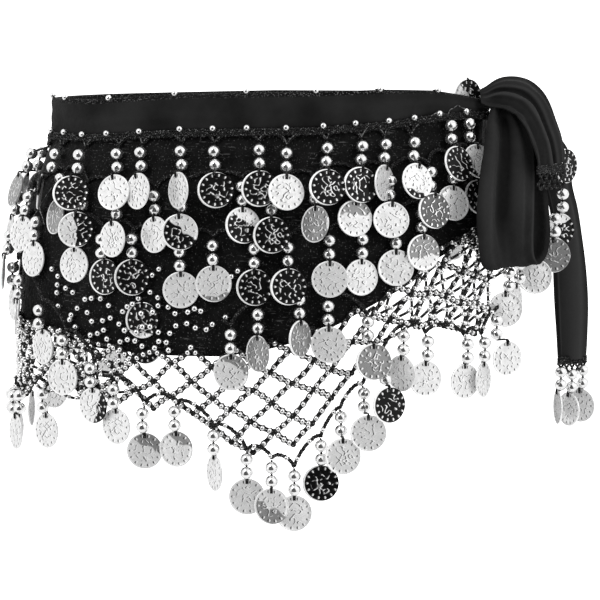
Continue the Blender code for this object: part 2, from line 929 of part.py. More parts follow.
def cloth_shapes():
    """The panels and the waistband's stretches, as (name, shape)."""
    gap = math.degrees(SEAM / 2 / WAIST_HALF_DEPTH)
    front, back = SIDE_SEAM + gap, SIDE_SEAM - gap
    panels = (
        ("panel_front", panel(front, FRONT_END, PANEL_FRONT_ROWS)),
        ("panel_back", panel(BACK_END, back, PANEL_BACK_ROWS)),
    )
    bands = (
        ("waistband_front", band(front, BAND[-1][0], BAND_FRONT_STEP)),
        ("waistband_back", band(BAND_BACK_END, back, BAND_BACK_STEP)),
    )
    return panels, bands


def net_shapes():
    """The net in two halves that meet at the side seam."""
    front_arc = float(arc_at(SIDE_SEAM)) + NET_PAD_ACROSS + SEAM
    front_columns = 1 + int((arc_at(NET_FRONT_END) - front_arc) // NET_PITCH)
    back_columns = 1 + int((front_arc - arc_at(BACK_END)) // NET_PITCH)
    back_arc = front_arc - 2 * NET_PAD_ACROSS - SEAM - (back_columns - 1) * NET_PITCH
    return (
        ("net_front", net(front_arc, front_columns)),
        ("net_back", net(back_arc, back_columns)),
    )


def tied_shapes():
    return (
        ("tie_loop", strip(LOOP, LOOP_PLEATS, LOOP_COLUMNS, loop_pleats)),
        ("tail_upper", strip(TAIL_UPPER, UPPER_PLEATS, UPPER_COLUMNS, tail_pleats)),
        ("tail_lower", strip(TAIL_LOWER, LOWER_PLEATS, LOWER_COLUMNS, tail_pleats)),
        ("knot", knot()),
    )


def string_rows():
    """Each row of strings as (name, strings, base_out), the first hung first."""
    rows = [
        ("net_fringe_front", NET_STRINGS, ON_NET),
        ("net_fringe_side", NET_STRINGS_SIDE, ON_NET),
        ("net_fringe_back", back_net_strings(), ON_NET),
        ("row_4_left", ROW_4_LEFT, ON_NET),
        ("row_4_middle", ROW_4_MIDDLE, ON_NET),
        ("row_3_front", ROW_3, ON_CLOTH),
        ("row_2_front", ROW_2, ON_CLOTH),
        ("row_1_front", ROW_1, ON_CLOTH),
    ]
    for name, *row in reversed(BACK_ROWS):
        rows.append((name, back_strings(*row), ON_CLOTH))
    return [(name, sorted(strings), base_out) for name, strings, base_out in rows]


def build_rows(hung, finish):
    """The edges come first, so that every string clears every edge."""
    edges = {}
    for name, strings, base_out in string_rows():
        edges[name] = edge_stations(strings, base_out)
        hung.add(*loft(edges[name][0]))
    for name, strings, base_out in string_rows():
        sections = [
            hang(name, on_hips_path(turn, coin_below), facing, base_out, hung)
            for turn, coin_below, facing in strings
        ]
        build(name, *fringe(*edges[name], sections), finish)


def main():
    for old in list(bpy.data.objects):
        bpy.data.objects.remove(old, do_unlink=True)
    crinkle = material("black_crinkle_cloth", (0.012, 0.012, 0.013), 0.75)
    chiffon = material("black_chiffon", (0.03, 0.03, 0.032), 0.6)
    crochet = material("black_crochet_thread", (0.008, 0.008, 0.008), 0.85)
    silver = material("silver_plate", (0.82, 0.83, 0.85), 0.18, 1.0)
    hung = Hung()
    panels, bands = cloth_shapes()
    coins = [(name, loose_coin(*coin)) for name, *coin in LOOSE_COINS]
    for shapes, finish in (
        (panels, crinkle),
        (bands, chiffon),
        (net_shapes(), crochet),
        (tied_shapes(), chiffon),
        (coins, silver),
    ):
        for name, shape in shapes:
            build(name, *shape, finish)
            hung.add(*shape)
    build_rows(hung, silver)
    tails = (
        ("tail_upper_fringe", TAIL_UPPER[-1], TAIL_UPPER_STRINGS),
        ("tail_lower_fringe", TAIL_LOWER[-1], TAIL_LOWER_STRINGS),
    )
    for name, last_row, strings in tails:
        build(name, *tail_fringe(name, last_row, strings, hung), silver)


main()
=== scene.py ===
"""The looks of a belly dance hip scarf, tied at one side round an empty hip form.

Tables and lengths are in millimetres, and the pieces are written in metres. +X is the side of the
knot, -Y the front and +Z up. The origin is the middle of the waist opening.

Three words place everything on the hips:
  turn   degrees round the waist, 0 at the front, growing towards the knot
  below  depth under the origin
  out    distance outside the hips, along the horizontal normal
"""

import json
import math

import bpy
import numpy as np
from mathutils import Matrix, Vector, noise

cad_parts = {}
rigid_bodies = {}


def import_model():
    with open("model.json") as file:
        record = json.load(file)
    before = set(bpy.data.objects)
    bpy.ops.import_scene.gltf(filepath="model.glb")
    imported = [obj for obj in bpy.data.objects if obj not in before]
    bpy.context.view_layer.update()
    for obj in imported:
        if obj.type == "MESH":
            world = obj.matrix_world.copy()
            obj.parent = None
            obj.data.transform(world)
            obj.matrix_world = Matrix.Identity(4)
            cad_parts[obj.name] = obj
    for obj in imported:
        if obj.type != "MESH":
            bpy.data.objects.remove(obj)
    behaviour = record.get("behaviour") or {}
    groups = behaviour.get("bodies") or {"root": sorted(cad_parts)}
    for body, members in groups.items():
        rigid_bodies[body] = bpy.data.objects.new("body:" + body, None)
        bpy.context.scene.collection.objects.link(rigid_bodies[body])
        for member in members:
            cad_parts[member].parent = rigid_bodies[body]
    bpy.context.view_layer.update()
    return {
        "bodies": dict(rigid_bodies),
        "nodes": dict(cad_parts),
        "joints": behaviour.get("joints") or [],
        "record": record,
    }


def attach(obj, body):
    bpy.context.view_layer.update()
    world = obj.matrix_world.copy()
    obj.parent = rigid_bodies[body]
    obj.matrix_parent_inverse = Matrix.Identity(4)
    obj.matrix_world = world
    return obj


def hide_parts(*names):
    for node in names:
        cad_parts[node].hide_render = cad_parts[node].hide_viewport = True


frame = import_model()

MM = 0.001
UP = np.array([0.0, 0.0, 1.0])

# The hips under the scarf: an ellipse at each depth, from the waist's size to the hips'.
WAIST_HALF_WIDTH = 138.0
WAIST_HALF_DEPTH = 100.0
SPREAD_WIDTH = 22.0
SPREAD_DEPTH = 16.0
SPREAD_FROM = 8.0
SPREAD_OVER = 44.0
SPREAD_POWER = 1.5

# The cloth and the waistband, whose front and back meet at the left side seam.
CLOTH = 1.2
SIDE_SEAM = -90.0
FRONT_END = 77.0
BACK_END = -262.0
BAND_FRONT_END = 73.8
BAND_BACK_END = -282.0
BAND_THICK = 3.2
BAND = (  # turn, middle, half_height
    (-282, -2, 3.5), (-262, -4, 5), (-250, -4.5, 6.5), (-225, -4.5, 10), (-180, -4, 11),
    (-130, -1.5, 11), (-90, 1, 11), (-50, 2, 11), (-24, -1.3, 11), (10, -2.6, 11), (30, -5, 10),
    (45, -7, 7.5), (60, -6, 5), (73.8, -4, 3.8),
)
BAND_SECTION = (  # up the band from -1 to 1, out from 0 to 1
    (-1, 0.45), (-0.97, 0.8), (-0.86, 1), (-0.55, 1.02), (-0.25, 1.08), (0.05, 1), (0.3, 0.92),
    (0.6, 0.98), (0.84, 1), (0.97, 0.85), (1, 0.5), (0.97, 0.2), (0.86, 0), (0.4, 0.02),
    (-0.4, 0.02), (-0.86, 0), (-0.97, 0.2),
)
HEM = (  # turn, below
    (-262, 26), (-235, 33), (-215, 43), (-200, 56), (-180, 76), (-150, 97), (-120, 114),
    (-90, 128), (-70, 133), (-54, 136), (-42, 142), (-26, 145), (-10, 145), (0, 140), (8, 134),
    (15, 125), (24, 112), (32, 101), (38, 89), (45, 81), (60, 62), (77, 46), (88, 38),
)
FOLDS = (  # turn_at_top, turn_at_hem, width, height_at_top, height_at_hem
    (-236, -232, 9, 0.6, 1.6), (-204, -206, 9, 0.3, 1.8), (-171, -168, 10, 0.2, 1.6),
    (-139, -142, 10, 0.3, 1.8), (-106, -104, 9, 0.4, 1.5), (-75, -72, 8, 0.5, 1.7),
    (-47, -42, 7, 0.2, 1.3), (-14, -18, 8, 0.2, 1.2), (13, 6, 7, 0.4, 1.2), (43, 30, 5, 1.2, 1.5),
    (57, 46, 4, 1.8, 1.2), (68, 62, 3.6, 2, 0.8),
)
# Creases pressed into the cloth, each a shallow valley between two places.
CREASES = (  # from_turn, from_below, to_turn, to_below, width, depth
    (74, 8, 28, 58, 3, 1.1), (72, 14, 40, 70, 2.6, 1.2), (75, 22, 52, 66, 2.4, 1),
    (70, 4, 12, 30, 2.8, 0.8), (66, 12, 4, 52, 3.2, 0.9), (58, 20, -8, 78, 3.4, 0.8),
    (46, 40, 2, 104, 3, 0.9), (34, 30, -20, 60, 2.6, 0.6), (30, 66, -12, 116, 2.8, 0.8),
    (10, 20, -40, 38, 3, 0.7), (4, 34, -52, 62, 3.2, 0.8), (-8, 60, -60, 84, 2.8, 0.7),
    (2, 92, -44, 108, 3.2, 0.9), (-14, 120, -66, 126, 2.6, 0.7), (-30, 22, -82, 34, 2.8, 0.7),
    (-38, 48, -86, 60, 3, 0.8), (-46, 74, -86, 92, 2.8, 0.7), (-52, 100, -88, 112, 3, 0.8),
    (-22, 84, -70, 100, 2.2, 0.5), (-58, 20, -66, 70, 2.6, 0.6), (16, 100, -10, 132, 2.4, 0.6),
    (-94, 30, -140, 22, 3, 0.8), (-96, 58, -150, 44, 3.2, 0.8), (-98, 84, -146, 74, 3, 0.8),
    (-102, 104, -150, 90, 2.8, 0.7), (-130, 26, -190, 34, 3.2, 0.7), (-136, 56, -196, 50, 3, 0.8),
    (-150, 80, -188, 70, 2.6, 0.7), (-172, 20, -226, 14, 2.8, 0.7), (-180, 46, -232, 28, 3, 0.8),
    (-200, 30, -256, 12, 2.6, 0.8), (-214, 38, -258, 20, 2.4, 0.6),
    (-110, 16, -120, 60, 2.6, 0.6),
)

# The net: a diamond mesh whose rows follow the hem.
NET_EDGE = (  # turn, below
    (-262, 42), (-235, 51), (-215, 63), (-200, 77), (-180, 99), (-150, 125), (-120, 150),
    (-90, 174), (-70, 171), (-55, 164), (-31, 168), (-17, 174), (-9, 190), (4, 203), (9, 186),
    (12, 172), (17, 154), (22, 137), (26, 127), (38, 131), (54, 136), (57, 95), (70, 88),
    (78, 74), (90, 66),
)
NET_PITCH = 12.0
NET_ROW = 9.3
NET_LAP = 4.0
NET_OUT = CLOTH + 0.7
NET_THICK = 1.6
NET_PAD = 1.8
NET_GAP = 0.3  # at the side seam, past the pads of the front net's and the back net's knots
NET_FRONT_END = 88.0

# Arcs round the hips are measured at one depth.
ARC_LEVEL = 130.0
ARC_FROM = -300.0
ARC_TO = 120.0
ARC_STEPS = 2101

# A string: black thread, two beads and a coin. Drops are measured down from its root.
THREAD = 0.7
BEAD = 3.9
BEAD_DROPS = (4.0, 12.2)
BEAD_SQUASH = 0.96
COIN = 11.0
COIN_THICK = 1.0
COIN_DROP = 26.9
COIN_OUT = 1.0
HOLE_UP = 0.76
THREAD_FORK = 0.95  # of a bead under the lower one, where the thread parts round the coin
THREAD_BED = 0.5
ON_CLOTH = CLOTH + 0.8
ON_NET = NET_OUT + NET_THICK + 0.5
# Each string where its coin hangs. Facing turns the coin from the cloth. The lifts are how far its
# coin and its beads lie off the cloth on what hangs below. Painted reflection is how much of its
# face is painted dark as a reflection; where it is negative, that part is painted grey instead.
# What a string leaves out at its end is nought.
ROWS = {  # turn, coin_below, facing, coin_lift, painted_reflection, bead_lift
    "net_fringe_front": (
        (-86, 202), (-77, 201, 20), (-70, 199, 0, 5.6), (-58.5, 196, -5),
        (-35, 189, 10, 0.8, 0, 1), (-28, 203, -15, 0, -0.4), (-20.5, 201, 8, 0, -0.35),
        (-12.1, 215, 55), (-5.2, 229), (0, 234, 20, 4.8, -0.45), (4.7, 239, -10),
        (10.3, 221, 5, 0, 1), (14.5, 204, 0, 8.8), (19.5, 190, 10, 12.8),
        (23.5, 173, -10, 16, 1, 7), (28.4, 156, 65), (34.5, 160), (45.5, 163),
        (51.5, 163, -20, 1.6), (56, 150, 15, 11.2),
    ),
    "net_fringe_side": (
        (61.5, 121, 40), (68, 117, -5), (74, 102, 60, 8), (80, 101, 30), (86, 95, 0, 8),
    ),
    "net_fringe_back": (
        (-249.8, 79.1, 10), (-238.8, 82.7, -18, 0, 0.5), (-228.5, 87.9, 6), (-218.7, 93.8, -10),
        (-209.4, 101.3, 14, 0, 1), (-200.4, 109.6), (-191.6, 119.2, -6, 0, 0.4),
        (-183, 128.7, 10), (-174.3, 136.9, -18), (-165.7, 144.4, 6, 0, -0.6),
        (-156.8, 152.1, -10), (-147.8, 159.9, 14, 0, 1), (-138.3, 167.7),
        (-128.4, 176, -6, 0, 0.5), (-117.8, 184.7, 10), (-106.7, 193.7, -18), (-95, 203, 6, 0.8),
    ),
    "row_4_left": (
        (-80, 120, -10, 1.6), (-71, 127, 20, 4.8), (-60, 144), (-50, 161, -10, 4, 0, 1),
        (-41, 177, 5, 1.6, 0.4, 1),
    ),
    "row_4_middle": (
        (-8.5, 154, 10, 1.6, -0.4), (-2.8, 142, 50, 8, -0.8), (5.8, 133, -50, 8, -0.8),
        (11.8, 137, 20, 6.4), (20.4, 147, 0, 15.2, -0.8),
    ),
    "row_3_front": (
        (-80, 100, 12, 11.2, 0, 6), (-66, 90, -10, 3.2), (-50, 92, -5), (-40, 98.5, 0, 0, 1),
        (-31.8, 98, -12, 4, 0.95), (-20, 105, -10, 1.6), (-12.7, 101, 0, 1.6, -0.35),
        (-3.7, 103, 5, 3.2, 1), (3.5, 102, -8, 11.2, 1), (12.5, 98, 15, 6.4, 0.12),
        (20, 97.5, -10, 1.6, 0.2), (28.2, 92, 12, 3.2, 0.2), (35, 83, 0, 6.4, -0.6),
    ),
    "row_2_front": (
        (-87, 76, -12, 8.8, 0, 4.5), (-73, 75, -20, 5.6, 0, 2), (-59, 63, 10, 4, -0.8),
        (-48.5, 70, -30, 8.8, 0.5), (-37.5, 75, 16, 8.8), (-27.5, 72, 20, 5.6),
        (-21, 70, -10, 9.6, 0.55), (-6.8, 66, -25, 4, 0.55), (0, 71.5, 5, 8.8, 1),
        (10, 65, 50, 10.4, -0.8), (20, 62, -5, 5.6, -0.45), (28.5, 63, 10, 8.8),
        (40, 58, 0, 8.8, -1), (48, 54, 8, 3.2), (57, 51, 10, 4, 1, 1),
    ),
    "row_1_front": (
        (-80, 48, -10, 12, -0.8, 6), (-66, 48, 34, 8.8, 0.4), (-53, 48, -37, 10.4, 0.9, 2),
        (-40.5, 47, -2, 8.8), (-33.5, 46, 25, 11.2), (-22.5, 45, 41, 16), (-14, 45, -8, 8, 0.9),
        (-3, 44, 6, 9.6, 0.85), (3.6, 46, -12, 12, 0.12), (13.5, 43, 0, 15.2, 0.9),
        (22.5, 42, -5, 8.8, 0.9), (28.8, 41, -38, 8), (36.8, 40, -8, 12, 0.3, 1),
        (49.5, 30, 0, 10.4, 0.9, 1), (57, 29, 15, 8.8, 0.3),
    ),
    "row_3_back": (
        (-155.5, 91, 10, 4), (-144.7, 94, -18, 4.8, 0.5), (-133.2, 97, 6, 3.2, 1),
        (-121, 98.3, -10, 2.4), (-107.8, 99.7, 14, 0.8), (-94, 101, 0, 0, 0.3),
    ),
    "row_2_back": (
        (-202.1, 58.8, -10, 3.2), (-191.7, 60.9, 14, 4.8, 1), (-181.4, 63, 0, 1.6),
        (-171.2, 65.2, -6, 0.8, -0.6), (-160.8, 67.3, 10, 1.6), (-150.2, 69, -18, 6.4, 0.5),
        (-139, 70.5, 6, 8.8), (-127.2, 72, -10, 8, 0.9), (-114.5, 73.5, 14, 10.4),
        (-101, 75, 0, 8),
    ),
    "row_1_back": (
        (-242.6, 40.4, -6, 14.4, 0, 1), (-230.2, 41.2, 10, 4, 1), (-218.5, 41.9, -18, 5.6),
        (-207.5, 42.6, 6, 7.2, 0.5, 2), (-196.9, 43.4, -10, 9.6, 0, 2),
        (-186.6, 44.1, 14, 11.2, 0, 3.5), (-176.3, 44.8, 0, 8.8, 0.9, 2), (-166, 45.3, -6, 8),
        (-155.5, 45.8, 10, 10.4, 0.2), (-144.7, 46.2, -18, 7.2), (-133.2, 46.7, 6, 9.6, 0.9),
        (-121, 47.1, -10, 8), (-107.8, 47.6, 14, 10.4, -0.5), (-94, 48, 0, 8),
    ),
}

# The tie: cloth strips given by their two edges, row by row.
LOOP = (  # outer_x, outer_y, outer_z, inner_x, inner_y, inner_z
    (151, -43.5, 5.5, 138.5, -44, 5.5), (153, -47, -0.5, 134, -53, -0.5),
    (158, -49, -9, 132, -65, -9), (161, -51, -19.5, 129.5, -79, -19),
    (162, -53, -33, 127, -91, -32), (162, -56, -48, 125, -98, -47),
    (161.7, -59, -64, 124, -101, -62), (161.3, -60, -79, 125, -102, -77),
    (162.3, -57.5, -88.5, 127, -98.5, -90), (166.5, -49.5, -93, 131.5, -89.5, -94.5),
    (171.5, -40, -88, 135.5, -80, -89), (174, -34.5, -76, 138, -74.5, -75),
    (173, -33.5, -58, 139.5, -72.5, -56), (171, -33.5, -43, 140.5, -68.5, -42),
    (167, -32, -29, 141, -61, -28), (160, -28, -16, 141, -48, -15),
    (153, -26, -8.2, 142.5, -36, -8.2),
)
TAIL_UPPER = (
    (129, -43, 15, 129.5, -49, 6.5), (133.3, -40, 17.1, 133.3, -50.5, 4.8),
    (139.8, -36, 21.1, 137.8, -52.6, 4.2), (146.5, -31, 22.8, 142.7, -55.1, 3.2),
    (154.5, -25, 22.6, 147.4, -58, 1.4), (162.6, -19, 20, 151, -61.5, -1.5),
    (170, -14, 14, 154.5, -63, -5.9), (175.3, -11, 6, 157.4, -64, -11.5),
    (179.5, -9, -4.5, 159.5, -64.5, -16.8), (182.5, -9, -12.8, 161.5, -64.5, -22.3),
    (184.3, -10, -21.6, 163, -64, -28.3), (184.7, -12, -30, 164, -62, -34),
)
TAIL_LOWER = (
    (153.5, -22.3, 3.5, 153.5, -23.9, -2.5), (170, -6, -8, 160, -17, -14),
    (184, 2, -17, 164, -10, -26), (190, 8, -28, 170, -5, -40), (192, 13, -46, 175, -2, -54),
    (196, 15, -61, 178, 0, -68), (199, 16, -78, 179, 0, -82), (202, 16, -100, 179.5, 0, -102),
    (203.5, 16, -122, 180.5, 0, -124), (203, 15, -143, 182, 1, -145),
    (202, 14, -158.5, 183, 0, -158.5),
)
LOOP_PLEATS = (  # across from 0 to 1, width, depth
    (0.28, 0.1, 2.4), (0.62, 0.08, -3), (0.84, 0.09, 2),
)
UPPER_PLEATS = (
    (0.22, 0.08, 2.2), (0.42, 0.07, -1.8), (0.6, 0.08, 2.4), (0.82, 0.07, -1.6),
)
LOWER_PLEATS = (
    (0.35, 0.16, 2.2), (0.75, 0.14, -1.6),
)
LOOP_SHADES = (  # across, width, from and to along the strip, shade or, if negative, light
    (0.52, 0.1, 0.03, 0.42, 1), (0.02, 0.022, 0.08, 0.56, -0.9), (1, 0.06, 0, 0.56, 0.5),
    (0.19, 0.13, 0.58, 1.1, 1.4), (0.75, 0.2, 0.1, 0.56, -0.4),
)
UPPER_SHADES = (
    (0.3, 0.025, 0, 1.1, -0.9), (0.34, 0.05, 0.1, 1.1, 0.6), (0.62, 0.025, 0, 1.1, -0.9),
    (0.67, 0.05, 0.1, 1.1, 0.6),
)
LOWER_SHADES = (
    (0.94, 0.05, 0.3, 1, 1), (0.84, 0.02, 0.3, 1, -0.7), (0.4, 0.34, 0.15, 1.1, -0.85),
)
LOOP_OPENING = (  # along the loop from 0 to 1, how much of a pleat's depth is left
    (0, 0.35), (0.2, 0.9), (0.38, 1), (0.47, 0.2), (0.64, 0.15), (0.78, 0.6), (1, 0.35),
)
TAIL_OPENING = ((0.0, 0.0), (0.25, 1.0))  # a tail's pleats open out from the knot
STRIPS = (  # name, node, table, pleats, shades, opening, seed
    ("tie_bow", "tie_loop", LOOP, LOOP_PLEATS, LOOP_SHADES, LOOP_OPENING, 0.4),
    ("tie_tail_upper", "tail_upper", TAIL_UPPER, UPPER_PLEATS, UPPER_SHADES, TAIL_OPENING, 1.9),
    ("tie_tail_lower", "tail_lower", TAIL_LOWER, LOWER_PLEATS, LOWER_SHADES, TAIL_OPENING, 3.1),
)
STRIP_FINE = 0.8
STRIP_PARTS = 7
STRIP_COLUMNS = 56
STRIP_CREASE = 0.26
STRIP_SLUB = 0.1
VALLEY_SHADE = 0.45
RIDGE_LIGHT = 0.3
SHADE_FADE = 0.06

# The knot, and how far its ends stay from its first and last ring, in rings.
KNOT_CENTRE = (145.2, -31.8, 1.5)
KNOT_RADII = (10.0, 11.0, 7.0)
KNOT_RINGS = 96
KNOT_SIDES = 40
KNOT_END_GAP = 0.35
KNOT_ROUNDNESS = 0.4
KNOT_RIDGE = 0.07
KNOT_WRAPS = 3
KNOT_SLANT = 0.035
KNOT_CREASE = 0.02

# The strings on the tails' ends, and the scallops and the plain lines that they hang from.
TAILS = {  # across from 0 to 1, coin_below, facing, coin_lift, painted_reflection
    "tail_upper_fringe": (
        (0.04, 74, 50, 0, 0.6), (0.34, 89, 70, 1.6, -0.8),
    ),
    "tail_lower_fringe": (
        (0.1, 189, 72), (0.5, 191, -86), (0.9, 189, -62),
    ),
}
TAIL_OUT = BEAD
TAIL_TWIST = 6.28
TAIL_GAP = 0.3
UPPER_SCALLOPS = (3.6, 3.6, 3.2)
LOWER_SCALLOPS = (3.2, 3.0)
SCALLOP_THREAD = (0.5, 2.2)  # radius, lay
TAIL_LINES = (0.3, 1.5, 2.7, 3.9)
TAIL_LINE_THREAD = (0.62, 2.6)
LOOSE_COINS = (  # name, x, y, z, facing, painted_reflection
    ("coin_at_knot", 121.6, -37.6, 10.8, 37.0, 0.5),
    ("coin_at_tail", 186.5, -5.2, -33.5, 46.0, 0.85),
)

# Seed beads and a coin sewn on the cloth by hand.
SEED = 1.9
TOP_EDGE_SEEDS = (  # turn, below
    (-80.2, -11.2), (-66.6, -10.2), (-45.4, -9.8), (-24.8, -12.6), (-6.3, -14), (10.9, -14.2),
    (27.9, -15.2), (45.9, -14.7),
)
FOOT_SEEDS = (
    (-76, 12.1), (-64.9, 13), (-54.9, 14.2), (-45.1, 13.4), (-34.5, 12), (-23.1, 10.4),
    (-14.5, 10), (-6.1, 9.6), (3.5, 9.6), (12.6, 8.4), (20.8, 6.9), (29.9, 5.5), (37.4, 3.7),
    (45.6, 1.3), (56, 0.2), (70.8, 0.6),
)
PANEL_SEEDS = (
    (-24.9, 92.8), (-26.5, 96.6), (-26.9, 106.9), (-25, 110), (-7.2, 93.4), (-8.6, 96.8),
    (-54.7, 105), (-51.3, 106.7), (-54.8, 109.9), (-48.6, 109), (-44.4, 112.7), (-42.4, 111.9),
    (-39.8, 111.9), (-37.5, 115.8), (-29.8, 110.9), (-31, 114.2), (-32.3, 115.9), (-33.8, 119.1),
    (-24.9, 114.9), (-22.5, 115.6), (-54.2, 118.1), (-46.9, 118.5), (-49.1, 122.9),
    (-43.6, 120.7), (-49.7, 125.9), (-42.2, 125.9), (-47.6, 130.1), (-39.1, 125.1), (-37, 123.3),
    (-34.7, 126.8), (-28.8, 119.8), (-26, 118.7), (-20.9, 119.3), (-18, 118.3), (-16.5, 116.2),
    (-15.1, 117.6), (-33, 130.4), (-28.5, 127.8), (-26.6, 127.6), (-24.8, 130.9), (-30, 131.3),
    (-38.8, 130.9), (-40.5, 133.1), (-42.6, 134.3), (-37.9, 136.2), (-34.4, 137.5), (-32.5, 136),
    (-30.6, 136.7), (-28.8, 139.7), (-24.7, 136.4), (-22.9, 136.9), (-25.7, 140.5),
    (-22.4, 141.5), (-18.2, 125.2), (-20.7, 126.7), (-22.1, 131.3), (-16.3, 127.7),
    (-13.9, 128.7), (-12.6, 125.5), (-9.8, 121.2), (-17.3, 139.5), (-63.9, 98.8), (-57.3, 95.6),
    (-54.6, 99.7),
)
PANEL_COINS = ((-29.2, 124, 0.7),)  # turn, below, painted_reflection
BACK_SEEDS = np.arange(-254.0, -94.0, 9.0)
FOOT_BACK_END = -258.0
FOOT_LINES = ((0.0, 2.3), (1.5, 2.6), (3.0, 2.4))  # drop, out
FOOT_THREAD = (0.6, 3.4)  # radius, lay
FOOT_DROP = 0.2
FOOT_SEED = SEED * 1.08
FOOT_SEED_RISE = 1.6
FOOT_SEED_OUT = 4.0
SEED_LOOP = np.array([1.0, 0.2, 0.0, 0.2, 1.0]) * 0.7  # how far each point of it dips, in seeds
SEED_THREAD = 0.4
SEED_ON_COIN = 1.5

# The crochet edges that the rows hang from.
EDGE_HEIGHT = 2.2
EDGE_THICK = 1.6
EDGE_RISE = 6.0
EDGE_END_RISE = 3.5
EDGE_REACH = 5.0
EDGE_THREAD = 0.78
EDGE_LAY = 2.8
EDGE_PARTS = 12
EDGE_WANDER = 0.5
EDGE_ARCH = 0.55
EDGE_SEEDS = 13.0
TWIST_STEPS = 5
TWIST_WIDTH = 0.75
LUREX_THREAD = 0.24
LUREX_RISE = 1.6
LUREX_STRANDS = (  # turn, below: loose silver threads on the cloth
    ((-73, 42), (-66.5, 59), (-62, 70)),
    ((-60, 40), (-66.5, 59), (-71, 71)),
    ((61, 8), (59.5, 14), (57, 20), (53.5, 26)),
)

# How finely each piece is made, and how it is worked.
SHARP = 50.0
COIN_RINGS = (0.02, 0.3, 0.55, 0.78, 0.92, 0.94, 0.985, 1.0)
COIN_SIDES = 40
COIN_RIM = 0.16
COIN_RIM_BAND = (0.93, 0.99)
COIN_DOME = 0.3
BEAD_POLE = 0.94
CLOTH_STEP = 2.0
CLOTH_ROWS = 72
CLOTH_OUT = 1.25
CLOTH_FINE = 0.6
CLOTH_MOST = 1.75
CLOTH_BELOW_BAND = 0.4
CREASE_WANDER = 2.5
CREASE_SHOULDER = 0.55
CRINKLE = 0.5
CRINKLE_SIZE = 5.0
CRINKLE_STRETCH = np.array([1.0, 1.0, 0.55])
BAND_STEP = 1.0
BAND_FOLD = 0.35
BAND_FOLD_SIZE = 5.0
BAND_FOLD_STRETCH = np.array([0.12, 0.12, 1.0])
BAND_WANDER = 0.16
NET_SHARES = np.linspace(0.0, 1.0, 11)
NET_CLOSE = ((-90.0, -33.0), (24.0, 90.0))  # turns where loose threads cross the net's gaps
NET_CROSSED = 1.0  # the share of those gaps that has one, across and down
NET_BOW = 3.0
NET_LIFT = (-0.5, 1.2)
NET_THREAD = 0.8
NET_LOOSE_THREAD = NET_THREAD * 1.15
NET_WIND = 1.5
NET_WIND_REACH = 0.12
NET_KNOT = 1.9
NET_PULL = 1.5
NET_SAG = 1.1
NET_SEED = 1.6
EDGE_SEED = NET_SEED * 0.95
NET_SEEDS = (0.2, 0.5, 0.8)
NET_SEED_OUT = NET_THICK / 2 + 0.7
NET_FACE = 100.0  # the depth whose normals the net's threads take
THREAD_FINISH, BEAD_FINISH, COIN_FINISH, LUREX_FINISH = 0, 1, 2, 3
COIN_DOTS = 14

# The studio, in metres.
DOME = 1.0
FLOOR = -0.6
FLOOR_RADIUS = 9.0
BACKDROP_RADIUS = 12.0
OPENING = ((-3.3, -2.3), (1.6, -1.5), (-0.6, 2.6))
OPENING_Y = -1.95
OPENING_HEM = 0.35
SEAM_SIDES = ((0.07, 0.0, -0.1), (-0.07, 0.0, -0.1), (0.11, 0.0, 0.0))
SEAM_LENGTH = 3.0
SEAM_AWAY = (0.0, 1.2, 0.0)
SEAM_FLARE = 1.6
CARD_BEHIND = (180, 2.6, 26.0, -1.5, 1.5)  # azimuth, distance, half_angle, low, high
SOFT_BOXES = (  # name, place, size, power
    ("key", (-1.3, -1.5, 1.6), 0.9, 14.0),
    ("fill", (1.7, -1.1, 0.9), 1.2, 6.0),
    ("rear", (0.3, 1.9, 1.5), 1.2, 12.0),
)
CAMERA_PLACE = (0.017, -1.77, 0.012)
CAMERA_LENS = 166.0
CAMERA_PITCH = 4.25


def column(table, turn, index=1):
    """A column of a table, read between its rows at a turn or at many."""
    rows = np.array(table, float)
    return np.interp(turn, rows[:, 0], rows[:, index])


def floats(*values):
    return np.broadcast_arrays(*(np.asarray(value, float) for value in values))


def stacked(*parts):
    """Points from their coordinates, or faces from their corners."""
    return np.stack(np.broadcast_arrays(*parts), axis=-1)


def unit(vectors):
    return vectors / np.maximum(np.linalg.norm(vectors, axis=-1, keepdims=True), 1e-9)


def bell(off):
    """A smooth bump: 1 where off is 0, and almost nothing where it is 2."""
    return np.exp(-(off**2))


def circle(sides):
    return 2 * math.pi * np.arange(sides) / sides


def steps(points):
    """The distance from each point of a line to the next."""
    return np.linalg.norm(np.diff(points, axis=0), axis=1)


def travel(points):
    """How far along a line each of its points is."""
    return np.concatenate([[0.0], np.cumsum(steps(points))])


def half_axes(below):
    """The hips' half width and half depth, which grow from the waist down."""
    past = np.maximum(np.asarray(below, float) - SPREAD_FROM, 0.0) / SPREAD_OVER
    share = 1.0 - np.exp(-(past**SPREAD_POWER))
    return WAIST_HALF_WIDTH + SPREAD_WIDTH * share, WAIST_HALF_DEPTH + SPREAD_DEPTH * share


def outward(turn, below):
    """The hips' horizontal normal."""
    half_width, half_depth = half_axes(below)
    angle = np.radians(turn)
    return unit(stacked(half_depth * np.sin(angle), -half_width * np.cos(angle), 0.0))


def level(face):
    """The level direction across a horizontal normal."""
    return stacked(-face[..., 1], face[..., 0], 0.0)


def on_hips(turn, below, out):
    """Points at a turn, a depth and a distance outside the hips."""
    turn, below, out = floats(turn, below, out)
    half_width, half_depth = half_axes(below)
    angle = np.radians(turn)
    skin = stacked(half_width * np.sin(angle), -half_depth * np.cos(angle), -below)
    return skin + out[..., None] * outward(turn, below)


def band_foot(turn):
    """The depth of the waistband's lower edge."""
    return column(BAND, turn, 1) + column(BAND, turn, 2)


